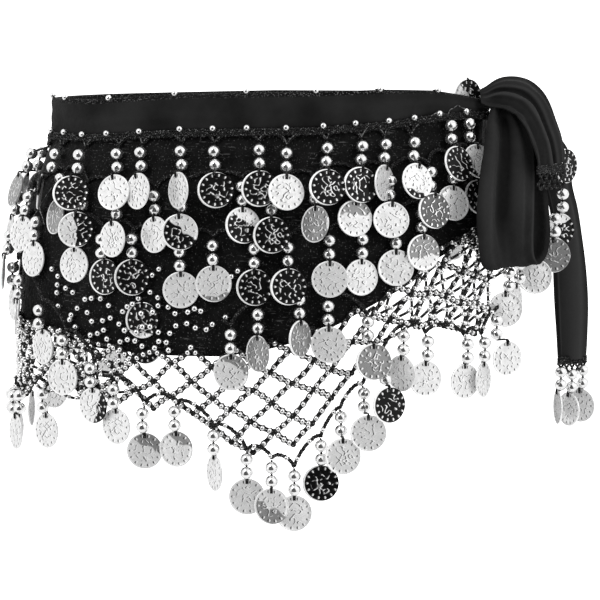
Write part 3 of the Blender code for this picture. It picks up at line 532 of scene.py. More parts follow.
def fold_out(turn, below):
    """How far the cloth's folds stand out at a place on it."""
    turn, below = floats(turn, below)
    top, hem = band_foot(turn), column(HEM, turn)
    down = np.clip((below - top) / (hem - top), 0.0, 1.0)
    total = np.zeros(turn.shape)
    for top_turn, hem_turn, width, top_height, hem_height in FOLDS:
        middle = top_turn + (hem_turn - top_turn) * down
        height = top_height + (hem_height - top_height) * down
        total += height * bell((turn - middle) / width)
    return total


def on_cloth(turn, below, out):
    """Points at a distance outside the cloth's inner face, folds included."""
    return on_hips(turn, below, np.asarray(out, float) + fold_out(turn, below))


TURNS = np.linspace(ARC_FROM, ARC_TO, ARC_STEPS)
ARCS = travel(on_hips(TURNS, ARC_LEVEL, 0.0))
ARCS = ARCS - np.interp(0.0, TURNS, ARCS)


def turn_at(arc):
    return np.interp(arc, ARCS, TURNS)


def arc_at(turn):
    """How far round the hips a turn is from the front."""
    return np.interp(turn, TURNS, ARCS)


def turns_per_mm(turn):
    return 2.0 / (arc_at(turn + 1) - arc_at(turn - 1))


def ruffle(points, scale, seed, octaves=3):
    """Smooth noise between about -1 and 1 at each point; scale is in millimetres."""
    flat = np.asarray(points, float).reshape(-1, 3) / scale + seed
    found = [noise.fractal(Vector(p), 1.0, 2.1, octaves) for p in flat]
    return np.array(found).reshape(np.shape(points)[:-1])


def smooth(points, parts):
    """Points along a smooth curve through the ones given."""
    points = np.array(points, float)
    ends = np.concatenate([[2 * points[0] - points[1]], points, [2 * points[-1] - points[-2]]])
    found = []
    for p, q, r, s in zip(ends, ends[1:], ends[2:], ends[3:]):
        for t in np.arange(parts) / parts:
            a, b, c = (2 * p - 5 * q + 4 * r - s), (3 * (q - r) + s - p), (r - p)
            found.append(q + 0.5 * t * (c + t * (a + t * b)))
    return np.array([*found, points[-1]])


def link(name, data):
    made = bpy.data.objects.new(name, data)
    bpy.context.scene.collection.objects.link(made)
    return made


class Shape:
    """Points and faces gathered for one mesh, with a mark of four numbers on each point."""

    def __init__(self):
        self.points, self.marks, self.faces, self.finishes = [], [], [], []
        self.count = 0

    def add(self, points, *parts, finish=0, marks=None):
        points = np.asarray(points, float).reshape(-1, 3)
        self.points.append(points)
        self.marks.append(np.zeros((len(points), 4)) if marks is None else marks.reshape(-1, 4))
        for faces in parts:
            self.faces.append(faces + self.count)
            self.finishes.append(np.full(len(faces), finish))
        self.count += len(points)

    def make(self, name, slot, *finishes, node=None):
        mesh = bpy.data.meshes.new(name)
        faces = [face for part in self.faces for face in part.tolist()]
        mesh.from_pydata(np.concatenate(self.points) * MM, [], faces, shade_flat=False)
        mesh.polygons.foreach_set("material_index", np.concatenate(self.finishes))
        marks = mesh.attributes.new("marks", "FLOAT_COLOR", "POINT")
        marks.data.foreach_set("color", np.concatenate(self.marks).ravel())
        mesh.set_sharp_from_angle(angle=math.radians(SHARP))
        for finish in finishes:
            mesh.materials.append(finish)
        made = link(name, mesh)
        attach(made, "root")
        if node:
            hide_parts(node)
        return made


def grid_faces(rows, columns, closed=False):
    """The quads of a grid, whose columns close into rings if asked."""
    r, c = np.meshgrid(
        np.arange(rows - 1), np.arange(columns if closed else columns - 1), indexing="ij"
    )
    here, after = r * columns + c, r * columns + (c + 1) % columns
    return stacked(here, after, after + columns, here + columns).reshape(-1, 4)


def tube_faces(rings, sides):
    """The wall of a tube made of rings of points, and its two ends."""
    around = np.arange(sides)
    ends = np.stack([around[::-1], around + (rings - 1) * sides])
    return grid_faces(rings, sides, closed=True), ends


def shell(inner, outer):
    """Points and faces of a closed wall between two grids of the same shape."""
    rows, columns = inner.shape[:2]
    shift = rows * columns
    face = grid_faces(rows, columns)
    grid = np.arange(shift).reshape(rows, columns)
    ring = np.concatenate([grid[0], grid[1:, -1], grid[-1, -2::-1], grid[-2:0:-1, 0]])
    after = np.roll(ring, -1)
    sides = stacked(ring, ring + shift, after + shift, after)
    points = np.concatenate([inner.reshape(-1, 3), outer.reshape(-1, 3)])
    return points, np.concatenate([face, face[:, ::-1] + shift, sides])


def many(template, count, size):
    """The faces of many copies of one body, each of size points."""
    shifts = (np.arange(count) * size)[:, None, None]
    return (template[None] + shifts).reshape(-1, template.shape[1])


def add_tubes(shape, paths, sides_to, radius, sides, finish=0):
    """Round tubes along paths of the same length. Each starts its ring towards its side vector."""
    paths = np.asarray(paths, float)
    tubes, stations = paths.shape[:2]
    along = unit(np.gradient(paths, axis=1))
    first = unit(np.cross(along, np.broadcast_to(sides_to, paths.shape)))[:, :, None]
    second = np.cross(along[:, :, None], first)
    angles = circle(sides)[:, None]
    ring = first * np.cos(angles) + second * np.sin(angles)
    parts = [many(faces, tubes, stations * sides) for faces in tube_faces(stations, sides)]
    shape.add(paths[:, :, None] + ring * radius, *parts, finish=finish)


def add_balls(shape, centres, radius, segments, rings, finish, squash=1.0):
    """Round beads, flattened a little where the thread enters them."""
    centres = np.asarray(centres, float).reshape(-1, 3)
    polar = math.pi * np.arange(1, rings)[:, None] / rings
    turned = circle(segments)
    flat = np.sin(polar)
    body = stacked(flat * np.cos(turned), flat * np.sin(turned), np.cos(polar) * squash)
    pole = squash * BEAD_POLE
    body = np.concatenate([body.reshape(-1, 3), [[0, 0, pole], [0, 0, -pole]]])
    size = len(body)
    here = np.arange(segments)
    after, foot = (here + 1) % segments, (rings - 2) * segments
    top, low = stacked(here, after, size - 2), stacked(after + foot, here + foot, size - 1)
    wall = grid_faces(rings - 1, segments, closed=True)[:, ::-1]
    parts = [many(faces, len(centres), size) for faces in (wall, np.concatenate([top, low]))]
    shape.add(centres[:, None] + body * radius, *parts, finish=finish)


def coin_body():
    """A coin's points (across, up, through), its faces, and each point's place on its face."""
    angles = circle(COIN_SIDES)
    r = np.repeat(np.array(COIN_RINGS)[:, None], COIN_SIDES, axis=1)
    u, v = r * np.sin(angles), r * np.cos(angles)
    rim = np.where((r > COIN_RIM_BAND[0]) & (r < COIN_RIM_BAND[1]), COIN_RIM, 0.0)
    half = COIN_THICK / 2 - COIN_RIM + (rim + COIN_DOME * (1 - r * r))
    points = [stacked(u * COIN, v * COIN, way * half) for way in (-1, 1)]
    faces = grid_faces(len(COIN_RINGS), COIN_SIDES, closed=True)
    edge = np.arange(r.size - COIN_SIDES, r.size)
    after = np.roll(edge, -1)
    side = stacked(edge, after, after + r.size, edge + r.size)
    faces = np.concatenate([faces, faces[:, ::-1] + r.size, side])
    places = np.tile(stacked(u, v).reshape(-1, 2), (2, 1))
    return np.concatenate(points).reshape(-1, 3), faces, places


def add_coin(shape, frame, painted_reflection, twist, finish):
    """A coin at its frame: centre, across, up and through. Its face is on the negative side."""
    body, faces, places = coin_body()
    marks = np.concatenate([places, np.full((len(places), 2), (painted_reflection, twist))], axis=1)
    points = frame[0] + np.einsum("pk,kc->pc", body, frame[1:])
    shape.add(points, faces, finish=finish, marks=marks)


def on_hips_path(turn, coin_below):
    """Where a string on the hips hangs: a function from drop and out to a place and its normal."""
    root_below = coin_below - COIN_DROP

    def place(drop, out):
        # It hangs straight down, so it drifts round the widening hips.
        below = root_below + drop
        widened = half_axes(below)[0] / half_axes(root_below)[0] - 1.0
        here = turn - np.degrees(widened) * math.sin(math.radians(2 * turn))
        return on_cloth(here, below, out), outward(here, below)

    return place


def coin_frame(place, facing, out):
    """A hanging coin's centre, and its unit vectors across, up and through it."""
    top, face = place(COIN_DROP - COIN, out)
    foot, _ = place(COIN_DROP + COIN, out)
    turned = math.radians(facing)
    across = level(face) * math.cos(turned) + face * math.sin(turned)
    up = unit(top - foot)
    across = unit(across - up * (across @ up))
    return np.stack([(top + foot) / 2, across, up, np.cross(up, across)])


def add_string(shape, place, facing, outs, painted_reflection, twist, root_out):
    """Black thread, two beads and a coin, whose thread parts round its hole."""
    bead_out, coin_out = outs
    beads = [place(drop, bead_out)[0] for drop in BEAD_DROPS]
    coin = coin_frame(place, facing, coin_out)
    centre, across, up, through = coin
    root, face = place(0.0, root_out)
    thread = [root, *beads, beads[-1] - UP * BEAD * THREAD_FORK]
    add_tubes(shape, [smooth(thread, 3)], level(face), THREAD, 6)
    hole, top = centre + up * COIN * HOLE_UP, centre + up * (COIN + THREAD)
    for way in (-1, 1):
        side = hole + through * way * (COIN_THICK / 2 + THREAD * THREAD_BED)
        ends = [thread[-1], top + (side - hole), side]
        add_tubes(shape, [smooth(ends, 3)], across, THREAD * 0.8, 6)
    add_balls(shape, beads, BEAD, 16, 11, BEAD_FINISH, BEAD_SQUASH)
    add_coin(shape, coin, painted_reflection, twist, COIN_FINISH)


def add_twist(shape, line, normals, radius, lay):
    """Two strands twisted round each other along a line."""
    lengths = travel(line)
    at = np.linspace(0, lengths[-1], max(4, int(lengths[-1] / lay * TWIST_STEPS)))
    path, normal = (
        stacked(*(np.interp(at, lengths, axis) for axis in along.T))
        for along in (line, normals)
    )
    normal = unit(normal)
    side = np.cross(unit(np.gradient(path, axis=0)), normal)
    for phase in (0.0, math.pi):
        turned = (2 * math.pi * at / lay + phase)[:, None]
        strand = path + (side * np.cos(turned) + normal * np.sin(turned)) * radius * TWIST_WIDTH
        add_tubes(shape, [strand], normal, radius, 5)


def edge_line(strings):
    """The crochet edge that a row hangs from, as (turn, below): each string pulls it down."""
    stops = [(turn, coin_below - COIN_DROP) for turn, coin_below, *_ in strings]
    (first, first_below), (last, last_below) = stops[0], stops[-1]
    line = [(first - EDGE_REACH * turns_per_mm(first), first_below - EDGE_END_RISE)]
    for here, after in zip(stops, stops[1:]):
        rise = min(EDGE_RISE, (arc_at(after[0]) - arc_at(here[0])) / 3)
        for share in np.linspace(0.0, 1.0, EDGE_PARTS, endpoint=False):
            turn, below = (a + (b - a) * share for a, b in zip(here, after))
            line.append((turn, below - rise * math.sin(math.pi * share) ** EDGE_ARCH))
    line.append(stops[-1])
    line.append((last + EDGE_REACH * turns_per_mm(last), last_below - EDGE_END_RISE))
    return line


def add_edge(shape, line, out, beaded):
    """A crochet edge along a line of (turn, below), with seed beads worked into a beaded one."""
    at = np.linspace(0, 1, 2 * len(line))
    given = np.linspace(0, 1, len(line))
    turns, below = (np.interp(at, given, part) for part in np.array(line, float).T)
    below = np.maximum(below - EDGE_HEIGHT / 2, band_foot(turns) + EDGE_HEIGHT)
    along = np.arange(len(turns))
    below = below + EDGE_WANDER * np.sin(along * 1.9) * np.sin(along * 0.37)
    path = on_cloth(turns, below, out + EDGE_THICK / 2)
    add_twist(shape, path, outward(turns, below), EDGE_THREAD, EDGE_LAY)
    if beaded:
        lengths = travel(path)
        at = np.arange(EDGE_SEEDS / 2, lengths[-1], EDGE_SEEDS)
        turns, below = np.interp(at, lengths, turns), np.interp(at, lengths, below)
        seeds = on_cloth(turns, below, out + EDGE_THICK / 2 + 1.0)
        add_balls(shape, seeds, EDGE_SEED, 12, 8, BEAD_FINISH)


def add_lurex(shape, line, out):
    """A fine silver thread that lies along a crochet edge, a little higher than it."""
    turns, below = np.array(line, float).T
    wave = 0.5 * np.sin(np.arange(len(turns)) * 1.3)
    path = on_cloth(turns, below - LUREX_RISE + wave, out + EDGE_THICK + 0.4)
    add_tubes(shape, [path], outward(turns, below), LUREX_THREAD, 4, LUREX_FINISH)


def filled(row):
    """The six numbers of a string, with nought for each one that its row leaves out."""
    return (*row, 0, 0, 0, 0)[:6]


def row_of_strings(name):
    """A row of strings on the hips, with the crochet edge that it hangs from."""
    base_out = ON_NET if name.startswith(("net", "row_4")) else ON_CLOTH
    shape = Shape()
    draw = np.random.default_rng(sum(map(ord, name)))
    for turn, coin_below, facing, coin_lift, painted_reflection, bead_lift in map(filled, ROWS[name]):
        outs = (base_out + BEAD + bead_lift, base_out + COIN_OUT + coin_lift)
        place = on_hips_path(turn, coin_below)
        twist = draw.uniform(0, 2 * math.pi)
        add_string(shape, place, facing, outs, painted_reflection, twist, base_out + EDGE_THICK / 2)
    line = edge_line(ROWS[name])
    add_edge(shape, line, base_out, name.startswith("net"))
    if name.startswith("row_1"):
        add_lurex(shape, line, base_out)
    if name == "row_1_front":
        for strand in LUREX_STRANDS:
            add_lurex(shape, smooth(strand, 5), base_out + 1.0)
    finishes = (BLACK_THREAD, CHROME, SILVER, LUREX)
    return shape.make("strings_" + name, "silver_plate", *finishes, node=name)


def crease_depth(turn, below):
    """How deep the pressed creases are at a place, with a low shoulder beside each."""
    total = np.zeros(turn.shape)
    arc = arc_at(turn)
    for from_turn, from_below, to_turn, to_below, width, depth in CREASES:
        start = arc_at(from_turn)
        dx, dy = arc_at(to_turn) - start, to_below - from_below
        length = math.hypot(dx, dy)
        x, y = arc - start, below - from_below
        along = (x * dx + y * dy) / length**2
        off = (x * dy - y * dx) / length + CREASE_WANDER * np.sin(3.1 * along + from_turn)
        fade = np.clip(4 * along, 0, 1) * np.clip(4 * (1 - along), 0, 1)
        shoulder = CREASE_SHOULDER * bell((off - 2 * width) / width)
        total += depth * fade * (bell(off / width) - shoulder)
    return total


def cloth(name, node, first, last):
    """A stretch of the crinkled cloth, from under the band to the hem."""
    turns = np.linspace(first, last, int(abs(arc_at(last) - arc_at(first)) / CLOTH_STEP) + 1)
    top = band_foot(turns) + CLOTH_BELOW_BAND
    below = top + (column(HEM, turns) - top) * np.linspace(0.0, 1.0, CLOTH_ROWS)[:, None]
    turn = np.broadcast_to(turns, below.shape)
    crinkle = ruffle(on_cloth(turn, below, 0.0) * CRINKLE_STRETCH, CRINKLE_SIZE, seed=3.0)
    out = CLOTH_OUT - crease_depth(turn, below) + CRINKLE * crinkle
    out = np.clip(out, CLOTH_FINE + 0.1, CLOTH_MOST)
    shape = Shape()
    shape.add(*shell(on_cloth(turn, below, out - CLOTH_FINE), on_cloth(turn, below, out)))
    return shape.make(name, "black_crinkle_cloth", CRINKLED, node=node)


def band(name, node, first, last):
    """A stretch of the waistband: rolled chiffon with lengthwise folds, and lurex at its top."""
    turns = np.linspace(first, last, int(abs(last - first) / BAND_STEP) + 1)[:, None]
    section = smooth([*BAND_SECTION, BAND_SECTION[0]], 3)[:-1]
    ups, outs = section[:, 0], np.clip(section[:, 1], 0.0, 1.1)
    below = column(BAND, turns, 1) - ups * column(BAND, turns, 2)
    turn = np.broadcast_to(turns, below.shape)
    base = on_hips(turn, below, outs * BAND_THICK)
    folds = ruffle(base * BAND_FOLD_STRETCH, BAND_FOLD_SIZE, seed=7.0, octaves=2)
    wander = np.sin(ups * 9.0 + 1.4 * np.sin(np.radians(turn * 3)))
    facing = np.clip(outs - 0.4, 0.0, 1.0)
    out = outs * BAND_THICK + facing * (BAND_FOLD * folds + BAND_WANDER * wander)
    marks = np.zeros((*below.shape, 4))
    marks[..., 0] = np.clip((ups - 0.7) / 0.1, 0.0, 1.0) * (0.75 + 0.25 * np.sin(turns * 0.09))
    shape = Shape()
    shape.add(on_hips(turn, below, out), *tube_faces(*below.shape), marks=marks)
    return shape.make(name, "black_chiffon", CHIFFON, node=node)


def net_point(arc, row, out):
    turn = turn_at(arc)
    below = column(HEM, turn) - NET_LAP + NET_ROW * row
    return on_cloth(turn, below, NET_OUT + out)


def net_seeds(arcs, rows):
    """The seed beads along one bar or loose thread of the net."""
    at = (np.interp(NET_SEEDS, NET_SHARES, along) for along in (arcs, rows))
    return [*net_point(*at, NET_SEED_OUT)]


def net_depth(arc, index):
    """The last row of the net in a column: the one of its parity nearest to the net's edge."""
    turn = turn_at(arc)
    rows = (column(NET_EDGE, turn) - column(HEM, turn) + NET_LAP) / NET_ROW
    return max(1, index % 2 + 2 * round((rows - index % 2) / 2))


def net_knots(first_arc, columns):
    """The (column, row) of each knot that holds at least two bars."""
    knots = {
        (i, j)
        for i in range(columns)
        for j in range(i % 2, net_depth(first_arc + i * NET_PITCH, i) + 1, 2)
    }
    while True:
        loose = {
            (i, j)
            for i, j in knots
            if sum((i + a, j + b) in knots for a in (-1, 1) for b in (-1, 1)) < 2
        }
        if not loose:
            return sorted(knots)
        knots -= loose


def net_crossings(held, first_arc, draw):
    """Loose beaded threads across the gaps by the tie and the left side: paths, normals, seeds."""
    paths, sides_to, seeds = [], [], []
    arch = np.sin(math.pi * NET_SHARES)
    for i, j in sorted(held):
        turn = turn_at(first_arc + (i + 1) * NET_PITCH)
        if not any(first < turn < last for first, last in NET_CLOSE):
            continue
        for start, end in (((i, j), (i + 2, j)), ((i + 1, j - 1), (i + 1, j + 1))):
            crossed, bow = draw.random(), draw.uniform(-NET_BOW, NET_BOW)
            lift = draw.uniform(*NET_LIFT)
            if start not in held or end not in held or crossed > NET_CROSSED:
                continue
            arcs, rows = (a + (b - a) * NET_SHARES for a, b in zip(held[start], held[end]))
            arcs = first_arc + arcs * NET_PITCH + bow * arch * (start[0] == end[0])
            rows = rows + bow * arch * (start[1] == end[1]) / NET_ROW
            paths.append(net_point(arcs, rows, NET_THICK / 2 + lift * arch))
            sides_to.append(outward(turn_at(arcs), NET_FACE))
            seeds += net_seeds(arcs, rows)
    return paths, sides_to, seeds


def net(name, node, first_arc, columns):
    """A beaded diamond net: each bar is two threads that part round each of its seed beads."""
    knots = net_knots(first_arc, columns)
    draw = np.random.default_rng(columns)
    cell = (NET_PITCH, NET_ROW)
    held = {knot: knot + draw.uniform(-NET_PULL, NET_PULL, 2) / cell for knot in knots}
    paths, sides_to, seeds = [], [], []
    arch = np.sin(math.pi * NET_SHARES)
    nearest = np.abs(NET_SHARES[:, None] - np.array(NET_SEEDS)).min(axis=1)
    wind = NET_WIND * np.clip(1.35 - nearest / NET_WIND_REACH, 0.2, 1.0) * arch**0.3
    for i, j in knots:
        for down in (-1, 1):
            if (i + 1, j + down) not in held:
                continue
            start, end = held[(i, j)], held[(i + 1, j + down)]
            sag = draw.uniform(-NET_SAG, NET_SAG) * arch / NET_ROW
            arcs, rows = (a + (b - a) * NET_SHARES for a, b in zip(start, end))
            arcs, rows = first_arc + arcs * NET_PITCH, rows + sag
            for way in (-1, 1):
                shift = way * wind / math.hypot(*cell)
                parted = (arcs - shift * NET_ROW * down, rows + shift * NET_PITCH / NET_ROW)
                paths.append(net_point(*parted, NET_THICK / 2))
                sides_to.append(outward(turn_at(arcs), NET_FACE))
            seeds += net_seeds(arcs, rows)
    crossings, crossing_sides, crossing_seeds = net_crossings(held, first_arc, draw)
    shape = Shape()
    if crossings:
        add_tubes(shape, crossings, np.array(crossing_sides), NET_LOOSE_THREAD, 5)
    add_tubes(shape, paths, np.array(sides_to), NET_THREAD, 5)
    pads = [net_point(first_arc + i * NET_PITCH, j, NET_THICK / 2) for i, j in held.values()]
    add_balls(shape, pads, NET_KNOT, 8, 6, THREAD_FINISH)
    add_balls(shape, seeds + crossing_seeds, NET_SEED, 10, 7, BEAD_FINISH)
    return shape.make(name, "black_crochet_thread", BLACK_THREAD, CHROME, node=node)


def strip_tone(shares, pleats, shades, along, open_share):
    """The marks across a strip: none, how shaded its valleys are and how light its ridges are."""
    shade, light = np.zeros((2, len(shares)))
    for across, width, height in pleats:
        if height < 0:
            shade += VALLEY_SHADE * open_share * bell((shares - across) / (1.5 * width))
        else:
            light += RIDGE_LIGHT * open_share * bell((shares - across) / width)
    for across, width, first, last, tone in shades:
        reach = [np.clip(inside / SHADE_FADE, 0, 1) for inside in (along - first, last - along)]
        found = reach[0] * reach[1] * tone * bell((shares - across) / width)
        shade += np.maximum(found, 0.0)
        light += np.maximum(-found, 0.0)
    return stacked(0.0, np.clip(shade, 0, 1), np.clip(light, 0, 1), 0.0)


def strip(name, node, table, pleats, shades, opening, seed):
    """A strip of cloth through its rows, pleated along its length and softly creased."""
    rows = smooth(table, STRIP_PARTS)
    shares = np.linspace(0.0, 1.0, STRIP_COLUMNS)
    pleated = sum(height * bell((shares - across) / width) for across, width, height in pleats)
    under, over, tones = [], [], []
    for index, row in enumerate(rows):
        along = (rows[min(index + 1, len(rows) - 1)] - rows[max(index - 1, 0)]).reshape(2, 3)
        outer, inner = row[:3], row[3:]
        normal = unit(np.cross(inner - outer, along.mean(axis=0)))
        width = np.linalg.norm(inner - outer)
        share = index / (len(rows) - 1)
        open_share = column(opening, share)
        run = index / STRIP_PARTS
        wave = np.sin(shares * width * 0.42 + 1.3 * math.sin(run * 0.7 + seed) + seed)
        fine = STRIP_CREASE * wave + STRIP_SLUB * np.sin(shares * width * 0.8 + 0.5 * run)
        depth = pleated * open_share + fine * min(1.0, width / 14)
        line = outer + (inner - outer) * shares[:, None] + normal * depth[:, None]
        under.append(line - normal * STRIP_FINE / 2)
        over.append(line + normal * STRIP_FINE / 2)
        tones.append(strip_tone(shares, pleats, shades, share, open_share))
    shape = Shape()
    points, faces = shell(np.array(under), np.array(over))
    shape.add(points, faces, marks=np.tile(np.concatenate(tones), (2, 1)))
    return shape.make(name, "black_chiffon", CHIFFON, node=node)


def knot():
    """A tight barrel of cloth, wound with unequal wraps that slant across it."""
    along = -1 + 2 * (np.arange(KNOT_RINGS) + KNOT_END_GAP) / (KNOT_RINGS - 1 + 2 * KNOT_END_GAP)
    a, t = np.meshgrid(along, circle(KNOT_SIDES), indexing="ij")
    ridge = 1 + KNOT_RIDGE * np.cos(KNOT_WRAPS * math.pi * a)
    slant = KNOT_SLANT * np.cos(9 * a * math.pi + 1.6 * np.sin(t) + 0.8)
    slant = slant + KNOT_CREASE * np.cos(17 * a * math.pi - 2.2 * np.cos(t))
    girth = (1 - a * a) ** KNOT_ROUNDNESS * (ridge + slant)
    offsets = stacked(a, girth * np.cos(t), girth * np.sin(t))
    shape = Shape()
    shape.add(KNOT_CENTRE + offsets * KNOT_RADII, *tube_faces(KNOT_RINGS, KNOT_SIDES))
    return shape.make("tie_knot", "black_chiffon", CHIFFON, node="knot")


def tail_strings(name, table, scallops):
    """Strings that hang straight down from the crochet edge on the end of a tail."""
    last = np.array(table[-1], float)
    outer, inner = last[:3], last[3:]
    run = inner - outer
    face = unit(np.array([run[1], -run[0], 0.0]))
    face = -face if face[1] > 0 else face
    foot = min(outer[2], inner[2]) - EDGE_HEIGHT - TAIL_GAP
    shape = Shape()
    draw = np.random.default_rng(sum(map(ord, name)))
    for across, coin_below, facing, coin_lift, painted_reflection, bead_lift in map(filled, TAILS[name]):
        root = outer + run * across

        def place(drop, out, root=root, top=COIN_DROP - coin_below):
            return np.array([root[0], root[1], top - drop]) + face * (out - TAIL_OUT), face

        outs = (BEAD + bead_lift, COIN_OUT + coin_lift)
        add_string(shape, place, facing, outs, painted_reflection, draw.uniform(0, TAIL_TWIST), TAIL_OUT)

    def crochet(shares, heights, thread):
        line = outer + run * shares[:, None]
        line[:, 2] = heights
        add_twist(shape, line, np.broadcast_to(face, line.shape), *thread)

    shares = np.linspace(-0.02, 1.02, 61)
    for row, high in enumerate(scallops):
        scallop = np.abs(np.sin(math.pi * (5 * shares + 0.5 * row)))
        start = foot + 1.0 - sum(scallops[:row])
        crochet(shares, start - high * scallop - 0.4 * row, SCALLOP_THREAD)
    shares = np.linspace(-0.02, 1.02, 24)
    for lift in TAIL_LINES:
        crochet(shares, foot + lift + 0.3 * np.sin(shares * 30), TAIL_LINE_THREAD)
    finishes = (BLACK_THREAD, CHROME, SILVER)
    return shape.make("strings_" + name, "silver_plate", *finishes, node=name)


def loose_coin(name, x, y, z, facing, painted_reflection):
    """A coin that shows past the cloth it hangs behind, on a stub of its thread."""
    turned = math.radians(facing)
    across = np.array([math.cos(turned), math.sin(turned), 0.0])
    through = np.cross(UP, across)
    centre = np.array([x, y, z])
    shape = Shape()
    add_coin(shape, np.stack([centre, across, UP, through]), painted_reflection, 1.0, 1)
    hole = centre + UP * COIN * HOLE_UP
    for way in (-1, 1):
        side = through * way * (COIN_THICK / 2 + THREAD * 0.4)
        ends = smooth([hole + side, hole + side + UP * 2.0, hole + UP * 3.2], 3)
        add_tubes(shape, [ends], across, THREAD * 0.7, 6)
    return shape.make("disc_" + name, "silver_plate", BLACK_THREAD, SILVER, node=name)


def seeds_on(name, places, out, coins=()):
    """Seed beads sewn at (turn, below), each held by a small loop of thread, and flat coins."""
    shape = Shape()
    turns, below = np.array(places, float).T
    centres = on_cloth(turns, below, out)
    faces = outward(turns, below)
    for turn, depth, painted_reflection in coins:
        coin = coin_frame(on_hips_path(turn, depth), 0.0, CLOTH_MOST + COIN_THICK)
        add_coin(shape, coin, painted_reflection, 2.0, COIN_FINISH)
        near = np.linalg.norm(centres - coin[0], axis=1) < COIN + SEED
        centres = centres + near[:, None] * faces * SEED_ON_COIN
    add_balls(shape, centres, SEED, 12, 8, BEAD_FINISH)
    loops = centres[:, None] + level(faces)[:, None] * np.linspace(-1.5, 1.5, 5)[:, None] * SEED
    loops = loops - faces[:, None] * (SEED_LOOP * SEED)[:, None]
    add_tubes(shape, loops, faces[:, None], SEED_THREAD, 5)
    return shape.make(name, "silver_plate", BLACK_THREAD, CHROME, SILVER)


def foot_line(name, first, last, places):
    """The crochet line along the waistband's foot, with its seed beads."""
    shape = Shape()
    turns = np.linspace(first, last, int(abs(last - first)))
    below = band_foot(turns) + FOOT_DROP
    for drop, out in FOOT_LINES:
        wave = 0.5 * np.sin(arc_at(turns) * 1.1 + drop)
        path = on_cloth(turns, below + drop + wave, CLOTH + out)
        add_twist(shape, path, outward(turns, below), *FOOT_THREAD)
    at, depth = np.array(places, float).T
    seeds = on_cloth(at, depth - FOOT_SEED_RISE, CLOTH + FOOT_SEED_OUT)
    add_balls(shape, seeds, FOOT_SEED, 12, 8, BEAD_FINISH)
    return shape.make(name, "black_crochet_thread", BLACK_THREAD, CHROME)


class Value:
    """A number that a material's nodes work out. Sums with it make more nodes."""

    def __init__(self, recipe, socket):
        self.recipe, self.socket = recipe, socket

    def __add__(self, other):
        return self.recipe.math("ADD", self, other)

    def __sub__(self, other):
        return self.recipe.math("SUBTRACT", self, other)

    def __rsub__(self, other):
        return self.recipe.math("SUBTRACT", other, self)

    def __mul__(self, other):
        return self.recipe.math("MULTIPLY", self, other)

    def __abs__(self):
        return self.recipe.math("ABSOLUTE", self)


class Recipe:
    """A material's nodes."""

    def __init__(self, name):
        self.material = bpy.data.materials.new(name)
        self.material.use_nodes = True
        self.tree = self.material.node_tree
        self.shader = self.tree.nodes["Principled BSDF"]

    def put(self, socket, value):
        if isinstance(value, Value):
            self.tree.links.new(value.socket, socket)
        else:
            socket.default_value = value

    def node(self, kind, inputs, output=0, **settings):
        """A node's output, by its name or number."""
        made = self.tree.nodes.new("ShaderNode" + kind)
        for key, value in settings.items():
            setattr(made, key, value)
        for key, value in inputs.items():
            self.put(made.inputs[key], value)
        return Value(self, made.outputs[output])

    def math(self, operation, *values, clamp=False):
        return self.node("Math", dict(enumerate(values)), operation=operation, use_clamp=clamp)

    def ramp(self, value, low, high, to_low=0.0, to_high=1.0):
        """The value taken from one range to another, smoothly at both ends."""
        ranges = {"From Min": low, "From Max": high, "To Min": to_low, "To Max": to_high}
        return self.node("MapRange", {"Value": value, **ranges}, interpolation_type="SMOOTHSTEP")

    def mix(self, share, first, second):
        return self.node("Mix", {0: share, 6: first, 7: second}, 2, data_type="RGBA")

    def place(self):
        return self.node("TexCoord", {}, "Object")

    def marks(self):
        """The four numbers that the mesh holds at each point."""
        held = self.node("Attribute", {}, "Vector", attribute_name="marks")
        split = self.node("SeparateXYZ", {0: held}).socket.node
        sockets = (*split.outputs, held.socket.node.outputs["Alpha"])
        return [Value(self, socket) for socket in sockets]

    def noise(self, scale, detail, roughness=0.5, place=None):
        inputs = {"Scale": scale, "Detail": detail, "Roughness": roughness}
        return self.node("TexNoise", {"Vector": place or self.place(), **inputs})

    def bump(self, height, distance, strength, below=None):
        inputs = {"Height": height, "Distance": distance, "Strength": strength}
        if below:
            inputs["Normal"] = below
        return self.node("Bump", inputs)

    def finish(self, **inputs):
        for key, value in inputs.items():
            self.put(self.shader.inputs[key.replace("_", " ")], value)
        return self.material


def grey(value):
    return (value, value, value, 1.0)


def crinkled():
    """Black pressed crepe: a fine uneven crinkle, with sparse specks and short glints of lurex."""
    made = Recipe("crinkled_crepe")
    broad = made.noise(95.0, 4.0, 0.6)
    cells = made.node("TexVoronoi", {"Vector": made.place(), "Scale": 420.0}, "Distance")
    normal = made.bump(broad * 1.2 + cells * 0.4, 0.0013, 0.7)
    normal = made.bump(made.noise(1500.0, 2.0), 0.0003, 0.7, normal)
    specks = made.ramp(made.noise(1100.0, 1.0), 0.66, 0.72)
    stretch = {"Vector": made.place(), "Scale": (130.0, 130.0, 1400.0)}
    dashes = made.ramp(made.noise(1.0, 2.0, 0.5, made.node("Mapping", stretch)), 0.62, 0.7)
    patches = made.ramp(made.noise(28.0, 3.0, 0.6), 0.5, 0.62)
    glints = made.math("MAXIMUM", specks, dashes * patches)
    colour = made.mix(made.ramp(broad, 0.3, 0.7), grey(0.0015), grey(0.005))
    return made.finish(
        Base_Color=made.mix(glints * 0.75, colour, grey(0.1)),
        Roughness=made.ramp(glints, 0.0, 1.0, 0.66, 0.42),
        Specular_IOR_Level=0.1,
        Sheen_Weight=0.015,
        Sheen_Roughness=0.4,
        Normal=normal,
    )


